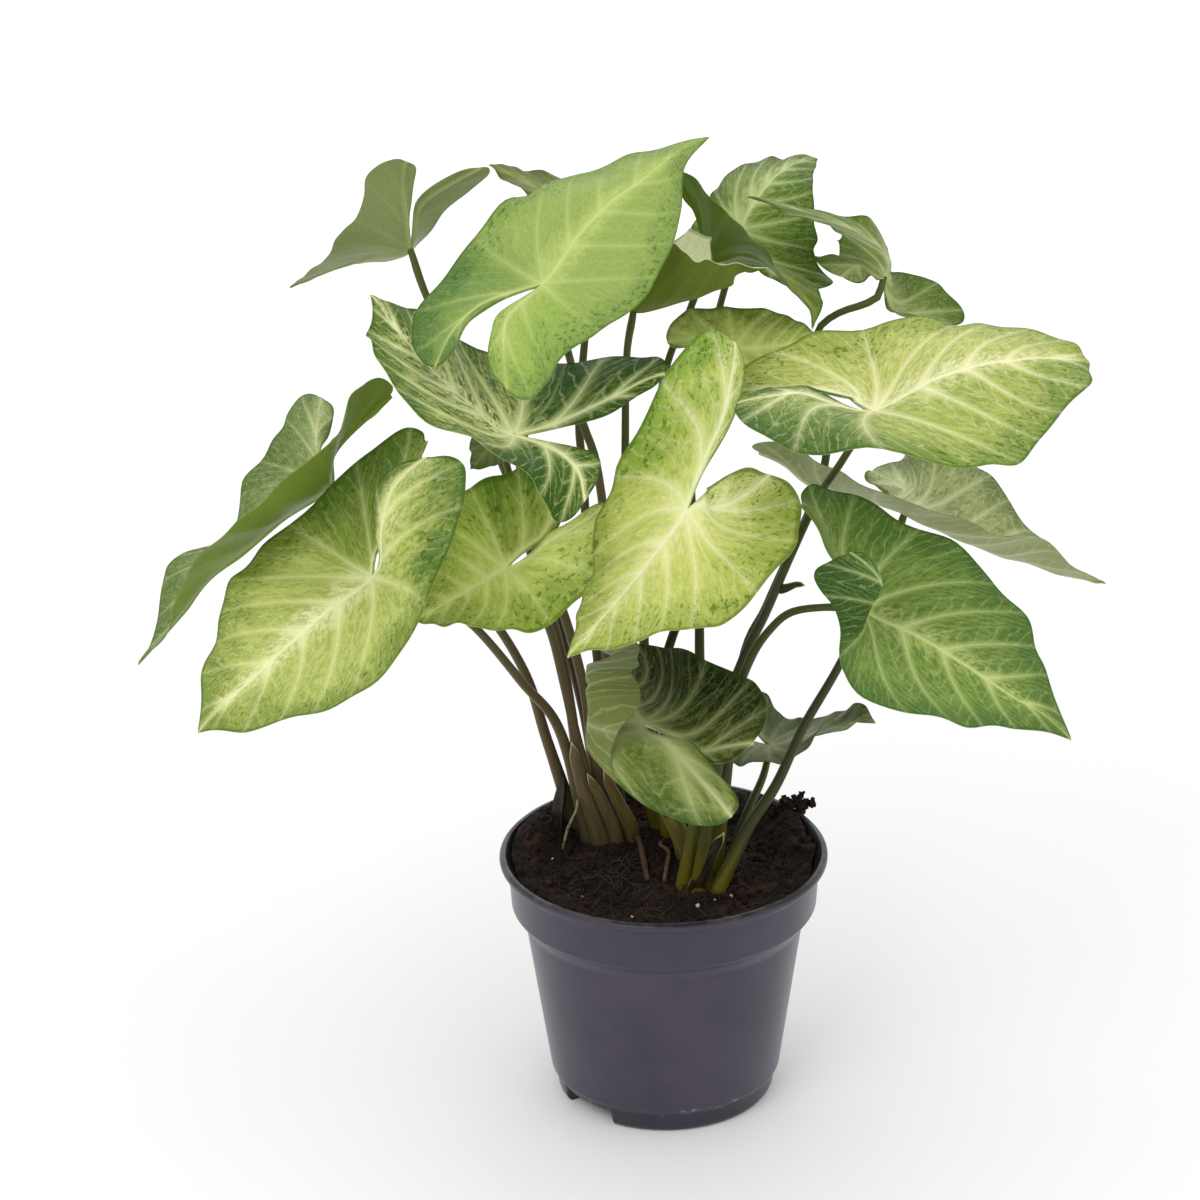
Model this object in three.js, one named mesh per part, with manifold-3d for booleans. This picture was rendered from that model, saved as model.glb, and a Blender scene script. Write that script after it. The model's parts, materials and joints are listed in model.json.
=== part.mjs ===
// Arrowhead plant, Syngonium podophyllum, growing in its plastic nursery pot.
//
// Nineteen leaves, each a thin arrowhead blade on its own stalk, rise from three crowns that are
// rooted in one potful of soil. Units are millimetres. +Z is up, +X is to the plant's right and
// -Y is its front. The origin is the middle of the pot's flat bottom.

import * as THREE from "three";
import { mergeVertices } from "three/addons/utils/BufferGeometryUtils.js";
import Module from "manifold-3d";

const wasm = await Module();
wasm.setup();

// ---- Driving dimensions ----

const POT_HEIGHT = 95.5;
const RIM_RADIUS = 60;
const LIP_HEIGHT = 3.2;
const LIP_WIDTH = 2.8;
const COLLAR_HEIGHT = 23.2;
const COLLAR_RADIUS = 56.3;
const BODY_TOP_RADIUS = 51.4;
const BODY_BOTTOM_RADIUS = 42.5;
const FOOT_HEIGHT = 9.6;
const FOOT_RADIUS = 38.6;
const FOOT_RING_WIDTH = 3;
const WALL = 1.4;
const EDGE_ROUND = 0.8;
const BOSS_RADIUS = 14;
const DRAIN_RAISE = 4;
const DRAIN_HOLES = 6;
const DRAIN_HOLE_RADIUS = 4.2;
const DRAIN_RING_RADIUS = 25.3;
const FOOT_NOTCHES = 2;
const FOOT_NOTCH_WIDTH = 24;
const FOOT_NOTCH_HEIGHT = 3.2;
const FOOT_NOTCH_DEPTH = 7;
const FIRST_NOTCH_ANGLE = THREE.MathUtils.degToRad(222);

const GAP = 0.35;
const SOIL_EDGE = 84;
const SOIL_WALL_DIP = 1.5;
const SOIL_RINGS = [0.85, 0.6, 0.35];
const SOIL_HEAP = 6;
const SOIL_HEAP_SPREAD = 38;
const SOIL_HEAP_CENTRE = new THREE.Vector2(-6, 22);
const CROWN_DEPTH = 7;
const CROWN_TOE = 3;
const CROWN_SHOULDER = 1.5;
const CROWN_FOOT_TAPER = 0.8;
const CROWN_TOP_TAPER = 0.86;

const BLADE_THICKNESS = 0.8;
const STALK_BASE_RADIUS = 2.6;
const STALK_TOP_RADIUS = 1.5;
const ROOT_RADIUS = 0.9;
const ROOT_TAPER = 0.35;

const SHEATH_LENGTH = 30;
const SHEATH_HALF_WIDTH = 4;
const SHEATH_THICKNESS = 0.8;
const SHEATH_PLACE = [-36.6, 20.4, 88.9];
const SHEATH_TURN = THREE.MathUtils.degToRad(-62);

const PEAT_LUMP_SIZE = [6.5, 4.2, 3];
const PEAT_LUMP_PLACE = [49.5, 31, 98.8];
const PEAT_LUMP_TURN = THREE.MathUtils.degToRad(-20);

const POT_SEGMENTS = 48;
const SOIL_SEGMENTS = 32;
const CROWN_SEGMENTS = 20;
const DRAIN_HOLE_SEGMENTS = 12;
const SHEATH_CURVE_STEPS = 5;
const STALK_SIDES = 6;
const STALK_STEPS = 10;

// ---- Materials ----

const finish = (color, roughness) => new THREE.MeshStandardMaterial({ color, roughness, metalness: 0 });

const potPlastic = finish(0x524d5a, 0.5);
const pottingSoil = finish(0x2a1a14, 1);
const crownStem = finish(0x6b5a33, 0.7);
const stalkSkin = finish(0x4d5230, 0.45);
const rootSkin = finish(0x9a7350, 0.8);
const driedSheath = finish(0xcabfae, 0.8);
const paleBlade = finish(0xbfd07a, 0.45);
const greenBlade = finish(0x6f9a3f, 0.45);
const darkBlade = finish(0x47702f, 0.45);

// ---- The leaves ----
//
// Every blade grows from the same flat arrowhead. A leaf places the landmarks of that arrowhead in
// space: along its spine, and down its left and right halves as seen from above with the tip ahead.
// Its stalk climbs from a slot of its crown, through the points listed, to the blade's junction.

const CROWNS = {
  left_crown: { centre: [-21.5, 29.5], radius: 12.5, top: 93 },
  middle_crown: { centre: [6, 28], radius: 11, top: 91.5 },
  right_crown: { centre: [13, -10], radius: 9.5, top: 89.5 },
};

const LEAVES = {
  top_leaf: {
    material: paleBlade,
    spine: { junction: [-40, -24, 321], middle: [-14, 2, 343], tip: [19, 33, 355] },
    left: {
      nearTip: [-2, 30, 352], edge: [-24, 22, 345], shoulder: [-53, 3, 340], side: [-77, -14, 317],
      lobeTip: [-79, -37, 297], notch: [-61, -32, 314],
    },
    right: {
      nearTip: [10, 18, 348], edge: [6, -2, 332], shoulder: [-12, -30, 311], side: [-33, -47, 303],
      lobeTip: [-48, -60, 294], notch: [-55, -40, 315],
    },
    stalk: {
      crown: "left_crown", foot: [-21.5, 29.5],
      through: [
        [-20, 26, 144], [-19, 17, 204], [-22, 12, 241], [-27, 14, 258], [-30, 14, 277],
        [-35, -1, 302],
      ],
    },
  },
  upper_left_leaf: {
    material: greenBlade,
    spine: { junction: [-88, 56, 309], middle: [-110, 64, 301], tip: [-132, 65, 292] },
    left: {
      edge: [-119, 52, 305], shoulder: [-110, 44, 320], side: [-103, 51, 330],
      lobeTip: [-91, 56, 342], notch: [-87, 59, 324],
    },
    right: {
      edge: [-112, 76, 297], shoulder: [-90, 78, 299], side: [-77, 76, 315],
      lobeTip: [-59, 70, 334], notch: [-85, 64, 323],
    },
    stalk: {
      crown: "left_crown", foot: [-22, 39],
      through: [[-28, 36, 134], [-41, 34, 190], [-57, 40, 234], [-70, 45, 266], [-82, 52, 292]],
    },
  },
  tucked_leaf: {
    material: greenBlade,
    spine: { junction: [-20, 41, 323], middle: [-40, 42, 334], tip: [-58, 41, 344] },
    left: {
      edge: [-46, 30, 337], shoulder: [-29, 24, 326], side: [-16, 25, 319], lobeTip: [-4, 28, 314],
    },
    right: {
      edge: [-44, 53, 338], shoulder: [-25, 58, 329], side: [-13, 56, 323], lobeTip: [-1, 51, 317],
    },
    stalk: {
      crown: "left_crown", foot: [-15, 38],
      through: [[-20, 34, 130], [-25, 27, 186], [-27, 24, 234], [-28, 27, 256], [-24, 35, 295]],
    },
  },
  cream_leaf: {
    material: paleBlade,
    spine: { junction: [-50, -26, 268], middle: [-75, -23, 288], tip: [-98, -16, 316] },
    left: {
      edge: [-96, -44, 305], shoulder: [-73, -62, 284], side: [-44, -63, 268],
      lobeTip: [-30, -56, 250], notch: [-28, -35, 265],
    },
    right: {
      edge: [-78, 7, 300], shoulder: [-58, 18, 280], side: [-31, 8, 283], lobeEnd: [-6, 4, 283],
      lobeTip: [3, -8, 286], lobeInner: [-5, -14, 278], notch: [-20, -23, 274],
    },
    stalk: {
      crown: "left_crown", foot: [-14.5, 23.5],
      through: [
        [-24, 20, 119], [-28, 12, 155], [-35, 2, 190], [-45, 7, 215], [-49, 11, 240],
        [-51, -8, 259],
      ],
    },
  },
  left_leaf: {
    material: paleBlade,
    spine: { junction: [-99, -54, 228], middle: [-127, -75, 212], tip: [-158, -83, 184] },
    left: {
      nearTip: [-144, -90, 188], edge: [-122, -92, 194], shoulder: [-88, -86, 214],
      side: [-70, -68, 249], lobeTip: [-72, -58, 273], lobeInner: [-91, -57, 263],
      notch: [-97, -55, 244],
    },
    right: {
      nearTip: [-156, -73, 199], edge: [-151, -59, 214], shoulder: [-138, -33, 231],
      side: [-113, -24, 250], lobeTip: [-81, -20, 268], lobeInner: [-85, -26, 253],
      notch: [-95, -46, 238],
    },
    stalk: {
      crown: "left_crown", foot: [-27, 22],
      through: [[-37, 12, 138], [-50, -8, 167], [-66, -24, 196], [-79, -31, 208], [-92, -47, 221]],
    },
  },
  folded_left_leaf: {
    material: greenBlade,
    spine: { junction: [-115, -15, 246], middle: [-147, -28, 225], tip: [-182, -43, 192] },
    left: {
      edge: [-157, -49, 235], shoulder: [-125, -54, 264], side: [-107, -34, 280],
      lobeEnd: [-99, -22, 287], lobeTip: [-92, -13, 281], lobeInner: [-99, -12, 271],
      notch: [-114, -16, 259],
    },
    right: {
      nearTip: [-175, -28, 201], edge: [-173, -14, 217], flank: [-149, 4, 223],
      shoulder: [-149, 15, 236], side: [-133, 16, 254], lobeTip: [-122, 23, 266],
      notch: [-118, -3, 257],
    },
    stalk: {
      crown: "left_crown", foot: [-31, 28],
      through: [[-42, 22, 130], [-50, 15, 162], [-66, 4, 194], [-92, -6, 222]],
    },
  },
  middle_left_leaf: {
    material: paleBlade,
    spine: { junction: [-54, -21, 217], middle: [-70, -36, 213], tip: [-85, -56, 212] },
    left: {
      edge: [-68, -57, 212], shoulder: [-46, -50, 205], side: [-27, -37, 212],
      lobeTip: [-16, -23, 231], notch: [-39, -21, 226],
    },
    right: {
      edge: [-78, -26, 222], shoulder: [-72, -6, 238], side: [-56, -1, 244], lobeTip: [-31, 3, 243],
      notch: [-40, -11, 225],
    },
    stalk: {
      crown: "left_crown", foot: [-21, 20],
      through: [[-30, 15, 129], [-35, 6, 159], [-40, -6, 187], [-47, -14, 203]],
    },
  },
  young_leaf: {
    material: greenBlade,
    spine: { junction: [-56, 26, 250], middle: [-61, 10, 249], tip: [-66, -6, 248] },
    left: {
      edge: [-58, 5, 245], shoulder: [-52, 18, 244], side: [-49, 27, 245], lobeTip: [-47, 35, 247],
    },
    right: {
      edge: [-66, 8, 252], shoulder: [-64, 23, 256], side: [-60, 32, 256], lobeTip: [-55, 39, 255],
    },
    stalk: {
      crown: "left_crown", foot: [-28, 35],
      through: [[-36, 30, 160], [-47, 29, 203], [-54, 28, 235]],
    },
  },
  behind_top_leaf: {
    material: greenBlade,
    spine: { junction: [-8, 14, 299], middle: [14, 12, 304], tip: [38, 12, 314] },
    left: {
      nearTip: [20, 20, 313], edge: [19, 32, 318], shoulder: [10, 44, 317], side: [-1, 43, 315],
      lobeTip: [-18, 39, 317],
    },
    right: {
      nearTip: [28, 6, 317], edge: [17, 0, 320], shoulder: [5, -1, 327], side: [-6, 3, 328],
      lobeTip: [-24, 4, 325],
    },
    stalk: {
      crown: "middle_crown", foot: [-1, 31],
      through: [[-9, 22, 125], [-12, 17, 150], [-13, 16, 204], [-12, 18, 240], [-11, 20, 278]],
    },
  },
  back_right_leaf: {
    material: greenBlade,
    spine: { junction: [32, 84, 305], middle: [45, 103, 319], tip: [62, 122, 320] },
    left: {
      edge: [46, 122, 320], shoulder: [26, 109, 317], side: [19, 94, 309], lobeTip: [14, 78, 295],
      notch: [29, 79, 298],
    },
    right: {
      edge: [58, 95, 317], shoulder: [59, 77, 303], side: [60, 74, 294], lobeTip: [57, 66, 287],
      notch: [37, 75, 294],
    },
    stalk: {
      crown: "right_crown", foot: [9.5, -5],
      through: [
        [14, 2, 131], [14, 14, 165], [14, 24, 185], [12, 42, 225], [16, 58, 254], [24, 74, 280],
      ],
    },
  },
  drooping_leaf: {
    material: darkBlade,
    spine: { junction: [19, 50, 305], middle: [40, 44, 305], tip: [55, 27, 286] },
    left: {
      nearTip: [59, 34, 293], edge: [52, 50, 298], shoulder: [33, 71, 294], side: [24, 70, 299],
      lobeTip: [20, 66, 299], notch: [17, 58, 311],
    },
    right: {
      nearTip: [53, 24, 296], edge: [45, 26, 304], shoulder: [31, 30, 323], side: [18, 45, 331],
      lobeTip: [7, 58, 334], notch: [16, 55, 317],
    },
    stalk: {
      crown: "middle_crown", foot: [5, 36],
      through: [
        [-2, 29, 123], [-6, 27, 171], [-4, 28, 223], [-1, 34, 247], [4, 38, 271], [12, 44, 288],
      ],
    },
  },
  curled_leaf: {
    material: greenBlade,
    spine: { junction: [82, 47, 298], middle: [75, 50, 312], tip: [33, 54, 327] },
    left: {
      edge: [60, 34, 322], shoulder: [64, 26, 317], side: [62, 38, 309], lobeTip: [62, 45, 301],
      notch: [76, 46, 300],
    },
    right: {
      edge: [73, 62, 315], shoulder: [84, 74, 299], waist: [86, 76, 290], side: [97, 72, 290],
      lobeEnd: [107, 66, 285], lobeTip: [110, 59, 276], notch: [84, 53, 284],
    },
    stalk: {
      crown: "right_crown", foot: [18, -5], clear: 0.9,
      through: [
        [28, -5, 168], [38, 8, 188], [47, 21, 203], [56, 31, 220], [61, 40, 237], [57, 47, 262],
        [58, 50, 277], [65, 49, 284], [73, 46, 288], [79, 46, 291],
      ],
    },
  },
  sheltered_leaf: {
    material: greenBlade,
    spine: { junction: [27, 24, 280], middle: [43, 21, 282], tip: [56, 15, 288] },
    left: {
      edge: [47, 31, 289], shoulder: [31, 40, 290], side: [17, 40, 290], lobeTip: [3, 36, 281],
      notch: [16, 28, 280],
    },
    right: {
      edge: [46, 8, 279], shoulder: [31, 5, 273], side: [19, 9, 271], lobeTip: [7, 15, 270],
    },
    stalk: {
      crown: "middle_crown", foot: [3, 22],
      through: [[-4, 17, 132], [-6, 14, 173], [0, 12, 205], [11, 15, 239], [20, 21, 262]],
    },
  },
  right_leaf: {
    material: paleBlade,
    spine: { junction: [71, -43, 281], middle: [109, -40, 296], tip: [146, -28, 291] },
    left: {
      nearTip: [141, -20, 296], edge: [117, -12, 298], shoulder: [83, -1, 298],
      side: [49, -10, 296], lobeTip: [20, -26, 278], notch: [58, -38, 294],
    },
    right: {
      nearTip: [144, -40, 288], edge: [127, -62, 280], shoulder: [96, -80, 274],
      waist: [68, -79, 282], side: [52, -77, 278], lobeTip: [23, -65, 290], notch: [48, -50, 292],
    },
    stalk: {
      crown: "right_crown", foot: [6.5, -13],
      through: [
        [17, -14, 142], [28, -20, 179], [36, -24, 199], [44, -26, 220], [54, -22, 241],
        [61, -31, 257],
      ],
    },
  },
  folded_right_leaf: {
    material: greenBlade,
    spine: { junction: [89, 26, 218], middle: [124, 20, 201], tip: [161, 20, 190] },
    left: {
      edge: [131, 48, 207], shoulder: [111, 63, 226], side: [93, 61, 227], lobeTip: [81, 53, 223],
      notch: [84, 34, 221],
    },
    right: {
      edge: [135, -1, 215], shoulder: [95, -9, 230], waist: [74, -6, 238], side: [62, -1, 244],
      lobeEnd: [46, 8, 248], lobeTip: [33, 16, 246], lobeInner: [47, 20, 238], notch: [58, 25, 227],
    },
    stalk: {
      crown: "right_crown", foot: [18.5, -16],
      through: [[30, -9, 107], [41, -4, 123], [51, 2, 143], [64, 10, 163], [79, 20, 190]],
    },
  },
  front_leaf: {
    material: paleBlade,
    spine: { junction: [8, -67, 256], middle: [-12, -76, 232], tip: [-33, -86, 211] },
    left: {
      nearTip: [-21, -95, 217], edge: [-6, -104, 227], shoulder: [23, -96, 229],
      side: [41, -75, 242], lobeTip: [42, -46, 257], lobeInner: [25, -54, 263],
      notch: [15, -62, 260],
    },
    right: {
      nearTip: [-30, -71, 216], edge: [-26, -53, 220], shoulder: [-20, -40, 247],
      side: [-7, -36, 276], lobeEnd: [10, -34, 303], lobeTip: [22, -30, 305],
      lobeInner: [28, -32, 292], notch: [22, -50, 278],
    },
    stalk: {
      crown: "middle_crown", foot: [13, 29], clear: 0.35,
      through: [
        [2, 14, 119], [1, 8, 140], [0, 3, 162], [4, -3, 182], [9, -23, 204], [11, -51, 237],
      ],
    },
  },
  lower_right_leaf: {
    material: darkBlade,
    spine: { junction: [67, -62, 217], middle: [100, -76, 202], tip: [136, -89, 179] },
    left: {
      nearTip: [130, -74, 194], edge: [123, -59, 207], shoulder: [99, -36, 230],
      side: [74, -33, 242], lobeTip: [47, -36, 248], notch: [58, -54, 232],
    },
    right: {
      nearTip: [118, -95, 187], edge: [98, -102, 192], shoulder: [60, -104, 208],
      side: [56, -93, 228], lobeEnd: [50, -90, 240], lobeTip: [57, -90, 248],
      lobeInner: [67, -92, 248], notch: [71, -80, 234],
    },
    stalk: {
      crown: "right_crown", foot: [11.5, -16.5],
      through: [
        [19, -22, 138], [25, -27, 167], [31, -31, 186], [37, -36, 198], [44, -42, 207],
        [55, -52, 213],
      ],
    },
  },
  low_front_leaf: {
    material: darkBlade,
    spine: { junction: [-7, -44, 167], middle: [-13, -20, 172], tip: [-22, 6, 178] },
    left: {
      edge: [-26, -26, 182], shoulder: [-28, -54, 179], side: [-17, -73, 160],
      lobeEnd: [4, -88, 151], lobeTip: [20, -90, 152], notch: [12, -63, 162],
    },
    right: {
      edge: [-4, 1, 176], shoulder: [9, -16, 182], side: [26, -33, 180],
      lobeTip: [34, -54, 169], notch: [12, -52, 164],
    },
    stalk: {
      crown: "middle_crown", foot: [10, 20],
      through: [[-3, -6, 122], [-7, -28, 148]],
    },
  },
  low_right_leaf: {
    material: darkBlade,
    spine: { junction: [40, 24, 126], middle: [58, 20, 132], tip: [78, 13, 139] },
    left: {
      nearTip: [74, 16, 145], edge: [66, 30, 136], shoulder: [51, 40, 128], side: [42, 41, 134],
      lobeTip: [32, 39, 139], notch: [34, 29, 130],
    },
    right: {
      nearTip: [69, 8, 142], edge: [61, 5, 143], shoulder: [45, 4, 128], side: [32, 9, 126],
      lobeTip: [23, 16, 126], notch: [32, 23, 128],
    },
    stalk: {
      crown: "right_crown", foot: [20.5, -10.5],
      through: [[30, 2, 107], [37, 15, 117]],
    },
  },
};

// Where each landmark lies on the flat arrowhead: across and along, in blade lengths from the
// junction, on the right half. The left half is its mirror image.
const FLAT_LANDMARK = {
  junction: [0, 0],
  middle: [0, 0.5],
  tip: [0, 1],
  nearTip: [0.12, 0.85],
  edge: [0.24, 0.62],
  flank: [0.345, 0.34],
  shoulder: [0.36, 0.18],
  waist: [0.338, 0.03],
  side: [0.33, -0.14],
  lobeEnd: [0.335, -0.34],
  lobeTip: [0.24, -0.46],
  lobeInner: [0.11, -0.4],
  notch: [0.06, -0.22],
};

// The flat arrowhead's right margin from the tip to the end of the lobe, and the margin of the
// notch from the junction to the same place.
const OUTER_MARGIN = [
  [0, 1], [0.045, 0.94], [0.12, 0.85], [0.19, 0.74], [0.25, 0.62], [0.3, 0.49], [0.345, 0.34],
  [0.36, 0.18], [0.338, 0.03], [0.33, -0.14], [0.345, -0.26], [0.325, -0.38], [0.24, -0.46],
];
const NOTCH_MARGIN = [[0, 0], [0.02, -0.08], [0.06, -0.22], [0.13, -0.38], [0.24, -0.46]];
const LOBE_RIB_END = [0.2, -0.4];
const MIDRIB_STEPS = 8;
const LOBE_STEPS = 4;
const STEPS_ACROSS = 2;

// ---- Solids ----

// A closed geometry as a manifold-3d solid.
function toSolid(geometry) {
  const bare = geometry.clone();
  bare.deleteAttribute("normal");
  bare.deleteAttribute("uv");
  const merged = mergeVertices(bare, 1e-3);
  return new wasm.Manifold(
    new wasm.Mesh({
      numProp: 3,
      vertProperties: merged.attributes.position.array,
      triVerts: new Uint32Array(merged.index.array),
    }),
  );
}

// A manifold-3d solid as a geometry with flat faces.
function toGeometry(solid) {
  const mesh = solid.getMesh();
  const geometry = new THREE.BufferGeometry();
  geometry.setAttribute("position", new THREE.BufferAttribute(mesh.vertProperties, mesh.numProp));
  geometry.setIndex(new THREE.BufferAttribute(mesh.triVerts, 1));
  const faceted = geometry.toNonIndexed();
  faceted.computeVertexNormals();
  return faceted;
}

function makeMesh(name, geometry, material) {
  const mesh = new THREE.Mesh(geometry, material);
  mesh.name = name;
  return mesh;
}

// A profile of [radius, height] pairs turned about the upright axis.
function turned(profile, segments) {
  const points = profile.map(([radius, height]) => new THREE.Vector2(radius, height));
  return new THREE.LatheGeometry(points, segments).rotateX(Math.PI / 2);
}

// A round tube along a smooth curve, its radius given at each fraction of the way. Its first end
// is cut level.
function taperedTube(points, radiusAt, sides, steps) {
  const curve = new THREE.CatmullRomCurve3(points, false, "centripetal");
  const frames = curve.computeFrenetFrames(steps, false);
  const positions = [];
  const indices = [];
  for (let step = 0; step <= steps; step += 1) {
    const centre = curve.getPointAt(step / steps);
    const radius = radiusAt(step / steps);
    for (let side = 0; side < sides; side += 1) {
      const angle = (2 * Math.PI * side) / sides;
      const point = centre
        .clone()
        .addScaledVector(frames.normals[step], radius * Math.cos(angle))
        .addScaledVector(frames.binormals[step], radius * Math.sin(angle));
      positions.push(point.x, point.y, step === 0 ? centre.z : point.z);
    }
  }
  for (let step = 0; step < steps; step += 1) {
    for (let side = 0; side < sides; side += 1) {
      const here = step * sides + side;
      const next = step * sides + ((side + 1) % sides);
      indices.push(here, next, next + sides, here, next + sides, here + sides);
    }
  }
  const last = steps * sides;
  for (let side = 1; side < sides - 1; side += 1) {
    indices.push(0, side + 1, side);
    indices.push(last, last + side, last + side + 1);
  }
  const geometry = new THREE.BufferGeometry();
  geometry.setAttribute("position", new THREE.Float32BufferAttribute(positions, 3));
  geometry.setIndex(indices);
  geometry.computeVertexNormals();
  return geometry;
}

// ---- The pot ----

const LIP_FOOT = POT_HEIGHT - LIP_HEIGHT;
const COLLAR_FOOT = POT_HEIGHT - COLLAR_HEIGHT;

// The inside surface of the pot from the rim down to the axis.
function potInside() {
  return [
    [RIM_RADIUS - LIP_WIDTH, POT_HEIGHT],
    [COLLAR_RADIUS - WALL, LIP_FOOT - EDGE_ROUND],
    [COLLAR_RADIUS - WALL - EDGE_ROUND / 2, COLLAR_FOOT + WALL + EDGE_ROUND],
    [BODY_TOP_RADIUS - WALL, COLLAR_FOOT + WALL],
    [BODY_BOTTOM_RADIUS - WALL, FOOT_HEIGHT + WALL],
    [FOOT_RADIUS - WALL - EDGE_ROUND, DRAIN_RAISE + WALL],
    [BOSS_RADIUS + WALL / 2, DRAIN_RAISE + WALL],
    [BOSS_RADIUS - WALL, WALL],
    [0, WALL],
  ];
}

// The outside surface from the middle of the bottom out and up to the rim.
function potOutside() {
  return [
    [0, 0],
    [BOSS_RADIUS, 0],
    [BOSS_RADIUS + WALL, DRAIN_RAISE],
    [FOOT_RADIUS - FOOT_RING_WIDTH - WALL, DRAIN_RAISE],
    [FOOT_RADIUS - FOOT_RING_WIDTH, 0],
    [FOOT_RADIUS, 0],
    [FOOT_RADIUS + WALL, 2 * EDGE_ROUND],
    [BODY_BOTTOM_RADIUS - EDGE_ROUND, FOOT_HEIGHT - EDGE_ROUND],
    [BODY_BOTTOM_RADIUS, FOOT_HEIGHT],
    [BODY_TOP_RADIUS, COLLAR_FOOT],
    [COLLAR_RADIUS - EDGE_ROUND, COLLAR_FOOT],
    [COLLAR_RADIUS, COLLAR_FOOT + EDGE_ROUND],
    [COLLAR_RADIUS + EDGE_ROUND / 2, LIP_FOOT - EDGE_ROUND],
    [RIM_RADIUS - EDGE_ROUND, LIP_FOOT],
    [RIM_RADIUS, LIP_FOOT + EDGE_ROUND],
    [RIM_RADIUS, POT_HEIGHT - EDGE_ROUND],
    [RIM_RADIUS - EDGE_ROUND, POT_HEIGHT],
  ];
}

// A drill through the bottom at one place of the ring of drain holes.
function drainDrill(angle) {
  const radius = DRAIN_HOLE_RADIUS;
  const drill = new THREE.CylinderGeometry(radius, radius, 2 * DRAIN_RAISE, DRAIN_HOLE_SEGMENTS);
  drill.rotateX(Math.PI / 2);
  drill.translate(DRAIN_RING_RADIUS * Math.cos(angle), DRAIN_RING_RADIUS * Math.sin(angle), DRAIN_RAISE);
  return toSolid(drill);
}

// The block that opens one notch in the foot ring; its top is the notch's roof.
function footNotch(angle) {
  const mouth = new THREE.BoxGeometry(FOOT_NOTCH_DEPTH, FOOT_NOTCH_WIDTH, 2 * FOOT_NOTCH_HEIGHT);
  mouth.translate(FOOT_RADIUS, 0, 0);
  mouth.rotateZ(angle);
  return toSolid(mouth);
}

function makePot() {
  const wall = toSolid(turned([...potOutside(), ...potInside()], POT_SEGMENTS));
  const cuts = [];
  for (let hole = 0; hole < DRAIN_HOLES; hole += 1) {
    cuts.push(drainDrill((2 * Math.PI * hole) / DRAIN_HOLES));
  }
  for (let notch = 0; notch < FOOT_NOTCHES; notch += 1) {
    cuts.push(footNotch(FIRST_NOTCH_ANGLE + (2 * Math.PI * notch) / FOOT_NOTCHES));
  }
  return makeMesh("pot", toGeometry(cuts.reduce((solid, cut) => solid.subtract(cut), wall)), potPlastic);
}

// ---- The soil and the crowns in it ----

function soilHeight(x, y) {
  const away = (x - SOIL_HEAP_CENTRE.x) ** 2 + (y - SOIL_HEAP_CENTRE.y) ** 2;
  return SOIL_EDGE + SOIL_HEAP * Math.exp(-away / (2 * SOIL_HEAP_SPREAD ** 2));
}

// The crown's own stem: a stub that narrows upwards from inside the soil.
function crownGeometry({ centre, radius, top }, margin) {
  const foot = SOIL_EDGE - CROWN_DEPTH;
  const profile = [
    [0, foot - margin],
    [CROWN_FOOT_TAPER * radius + margin, foot - margin],
    [radius + margin, foot + CROWN_TOE],
    [radius + margin, top - CROWN_SHOULDER + margin],
    [CROWN_TOP_TAPER * radius + margin, top + margin],
    [0, top + margin],
  ];
  return turned(profile, CROWN_SEGMENTS).translate(centre[0], centre[1], 0);
}

// The soil fills the pot to just short of its inside surface, and is heaped over its middle.
function makeSoil() {
  const profile = potInside()
    .slice(2)
    .map(([radius, height]) => [Math.max(radius - GAP, 0), height + GAP])
    .reverse();
  profile.push([COLLAR_RADIUS - WALL - EDGE_ROUND, SOIL_EDGE - SOIL_WALL_DIP]);
  SOIL_RINGS.forEach((part) => profile.push([part * COLLAR_RADIUS, SOIL_EDGE]));
  profile.push([0, SOIL_EDGE]);
  const geometry = turned(profile, SOIL_SEGMENTS);
  const position = geometry.attributes.position;
  for (let index = 0; index < position.count; index += 1) {
    const dip = SOIL_EDGE - position.getZ(index);
    if (dip <= SOIL_WALL_DIP) {
      position.setZ(index, soilHeight(position.getX(index), position.getY(index)) - dip);
    }
  }
  const pockets = Object.values(CROWNS).map((crown) => toSolid(crownGeometry(crown, GAP)));
  return makeMesh(
    "soil",
    toGeometry(pockets.reduce((solid, pocket) => solid.subtract(pocket), toSolid(geometry))),
    pottingSoil,
  );
}

// ---- Blades ----

// Points evenly spaced by index along a smooth curve through the listed ones.
function alongMargin(points, count) {
  const last = points.length - 1;
  const at = (index) => {
    if (index < 0) return mirrorEnd(points[0], points[1]);
    if (index > last) return mirrorEnd(points[last], points[last - 1]);
    return points[index];
  };
  const sampled = [];
  for (let step = 0; step < count; step += 1) {
    const place = (step * last) / (count - 1);
    const from = Math.min(Math.floor(place), last - 1);
    const around = [from - 1, from, from + 1, from + 2].map(at);
    sampled.push([0, 1].map((axis) => between(around.map((point) => point[axis]), place - from)));
  }
  return sampled;
}

// The point beyond an end that mirrors the one before it.
function mirrorEnd(end, inner) {
  return [2 * end[0] - inner[0], 2 * end[1] - inner[1]];
}

// The Catmull-Rom value between the middle two of four evenly spaced ones.
function between([a, b, c, d], weight) {
  const linear = (c - a) * weight;
  const square = (2 * a - 5 * b + 4 * c - d) * weight ** 2;
  const cube = (3 * b - a - 3 * c + d) * weight ** 3;
  return b + (linear + square + cube) / 2;
}

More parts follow.
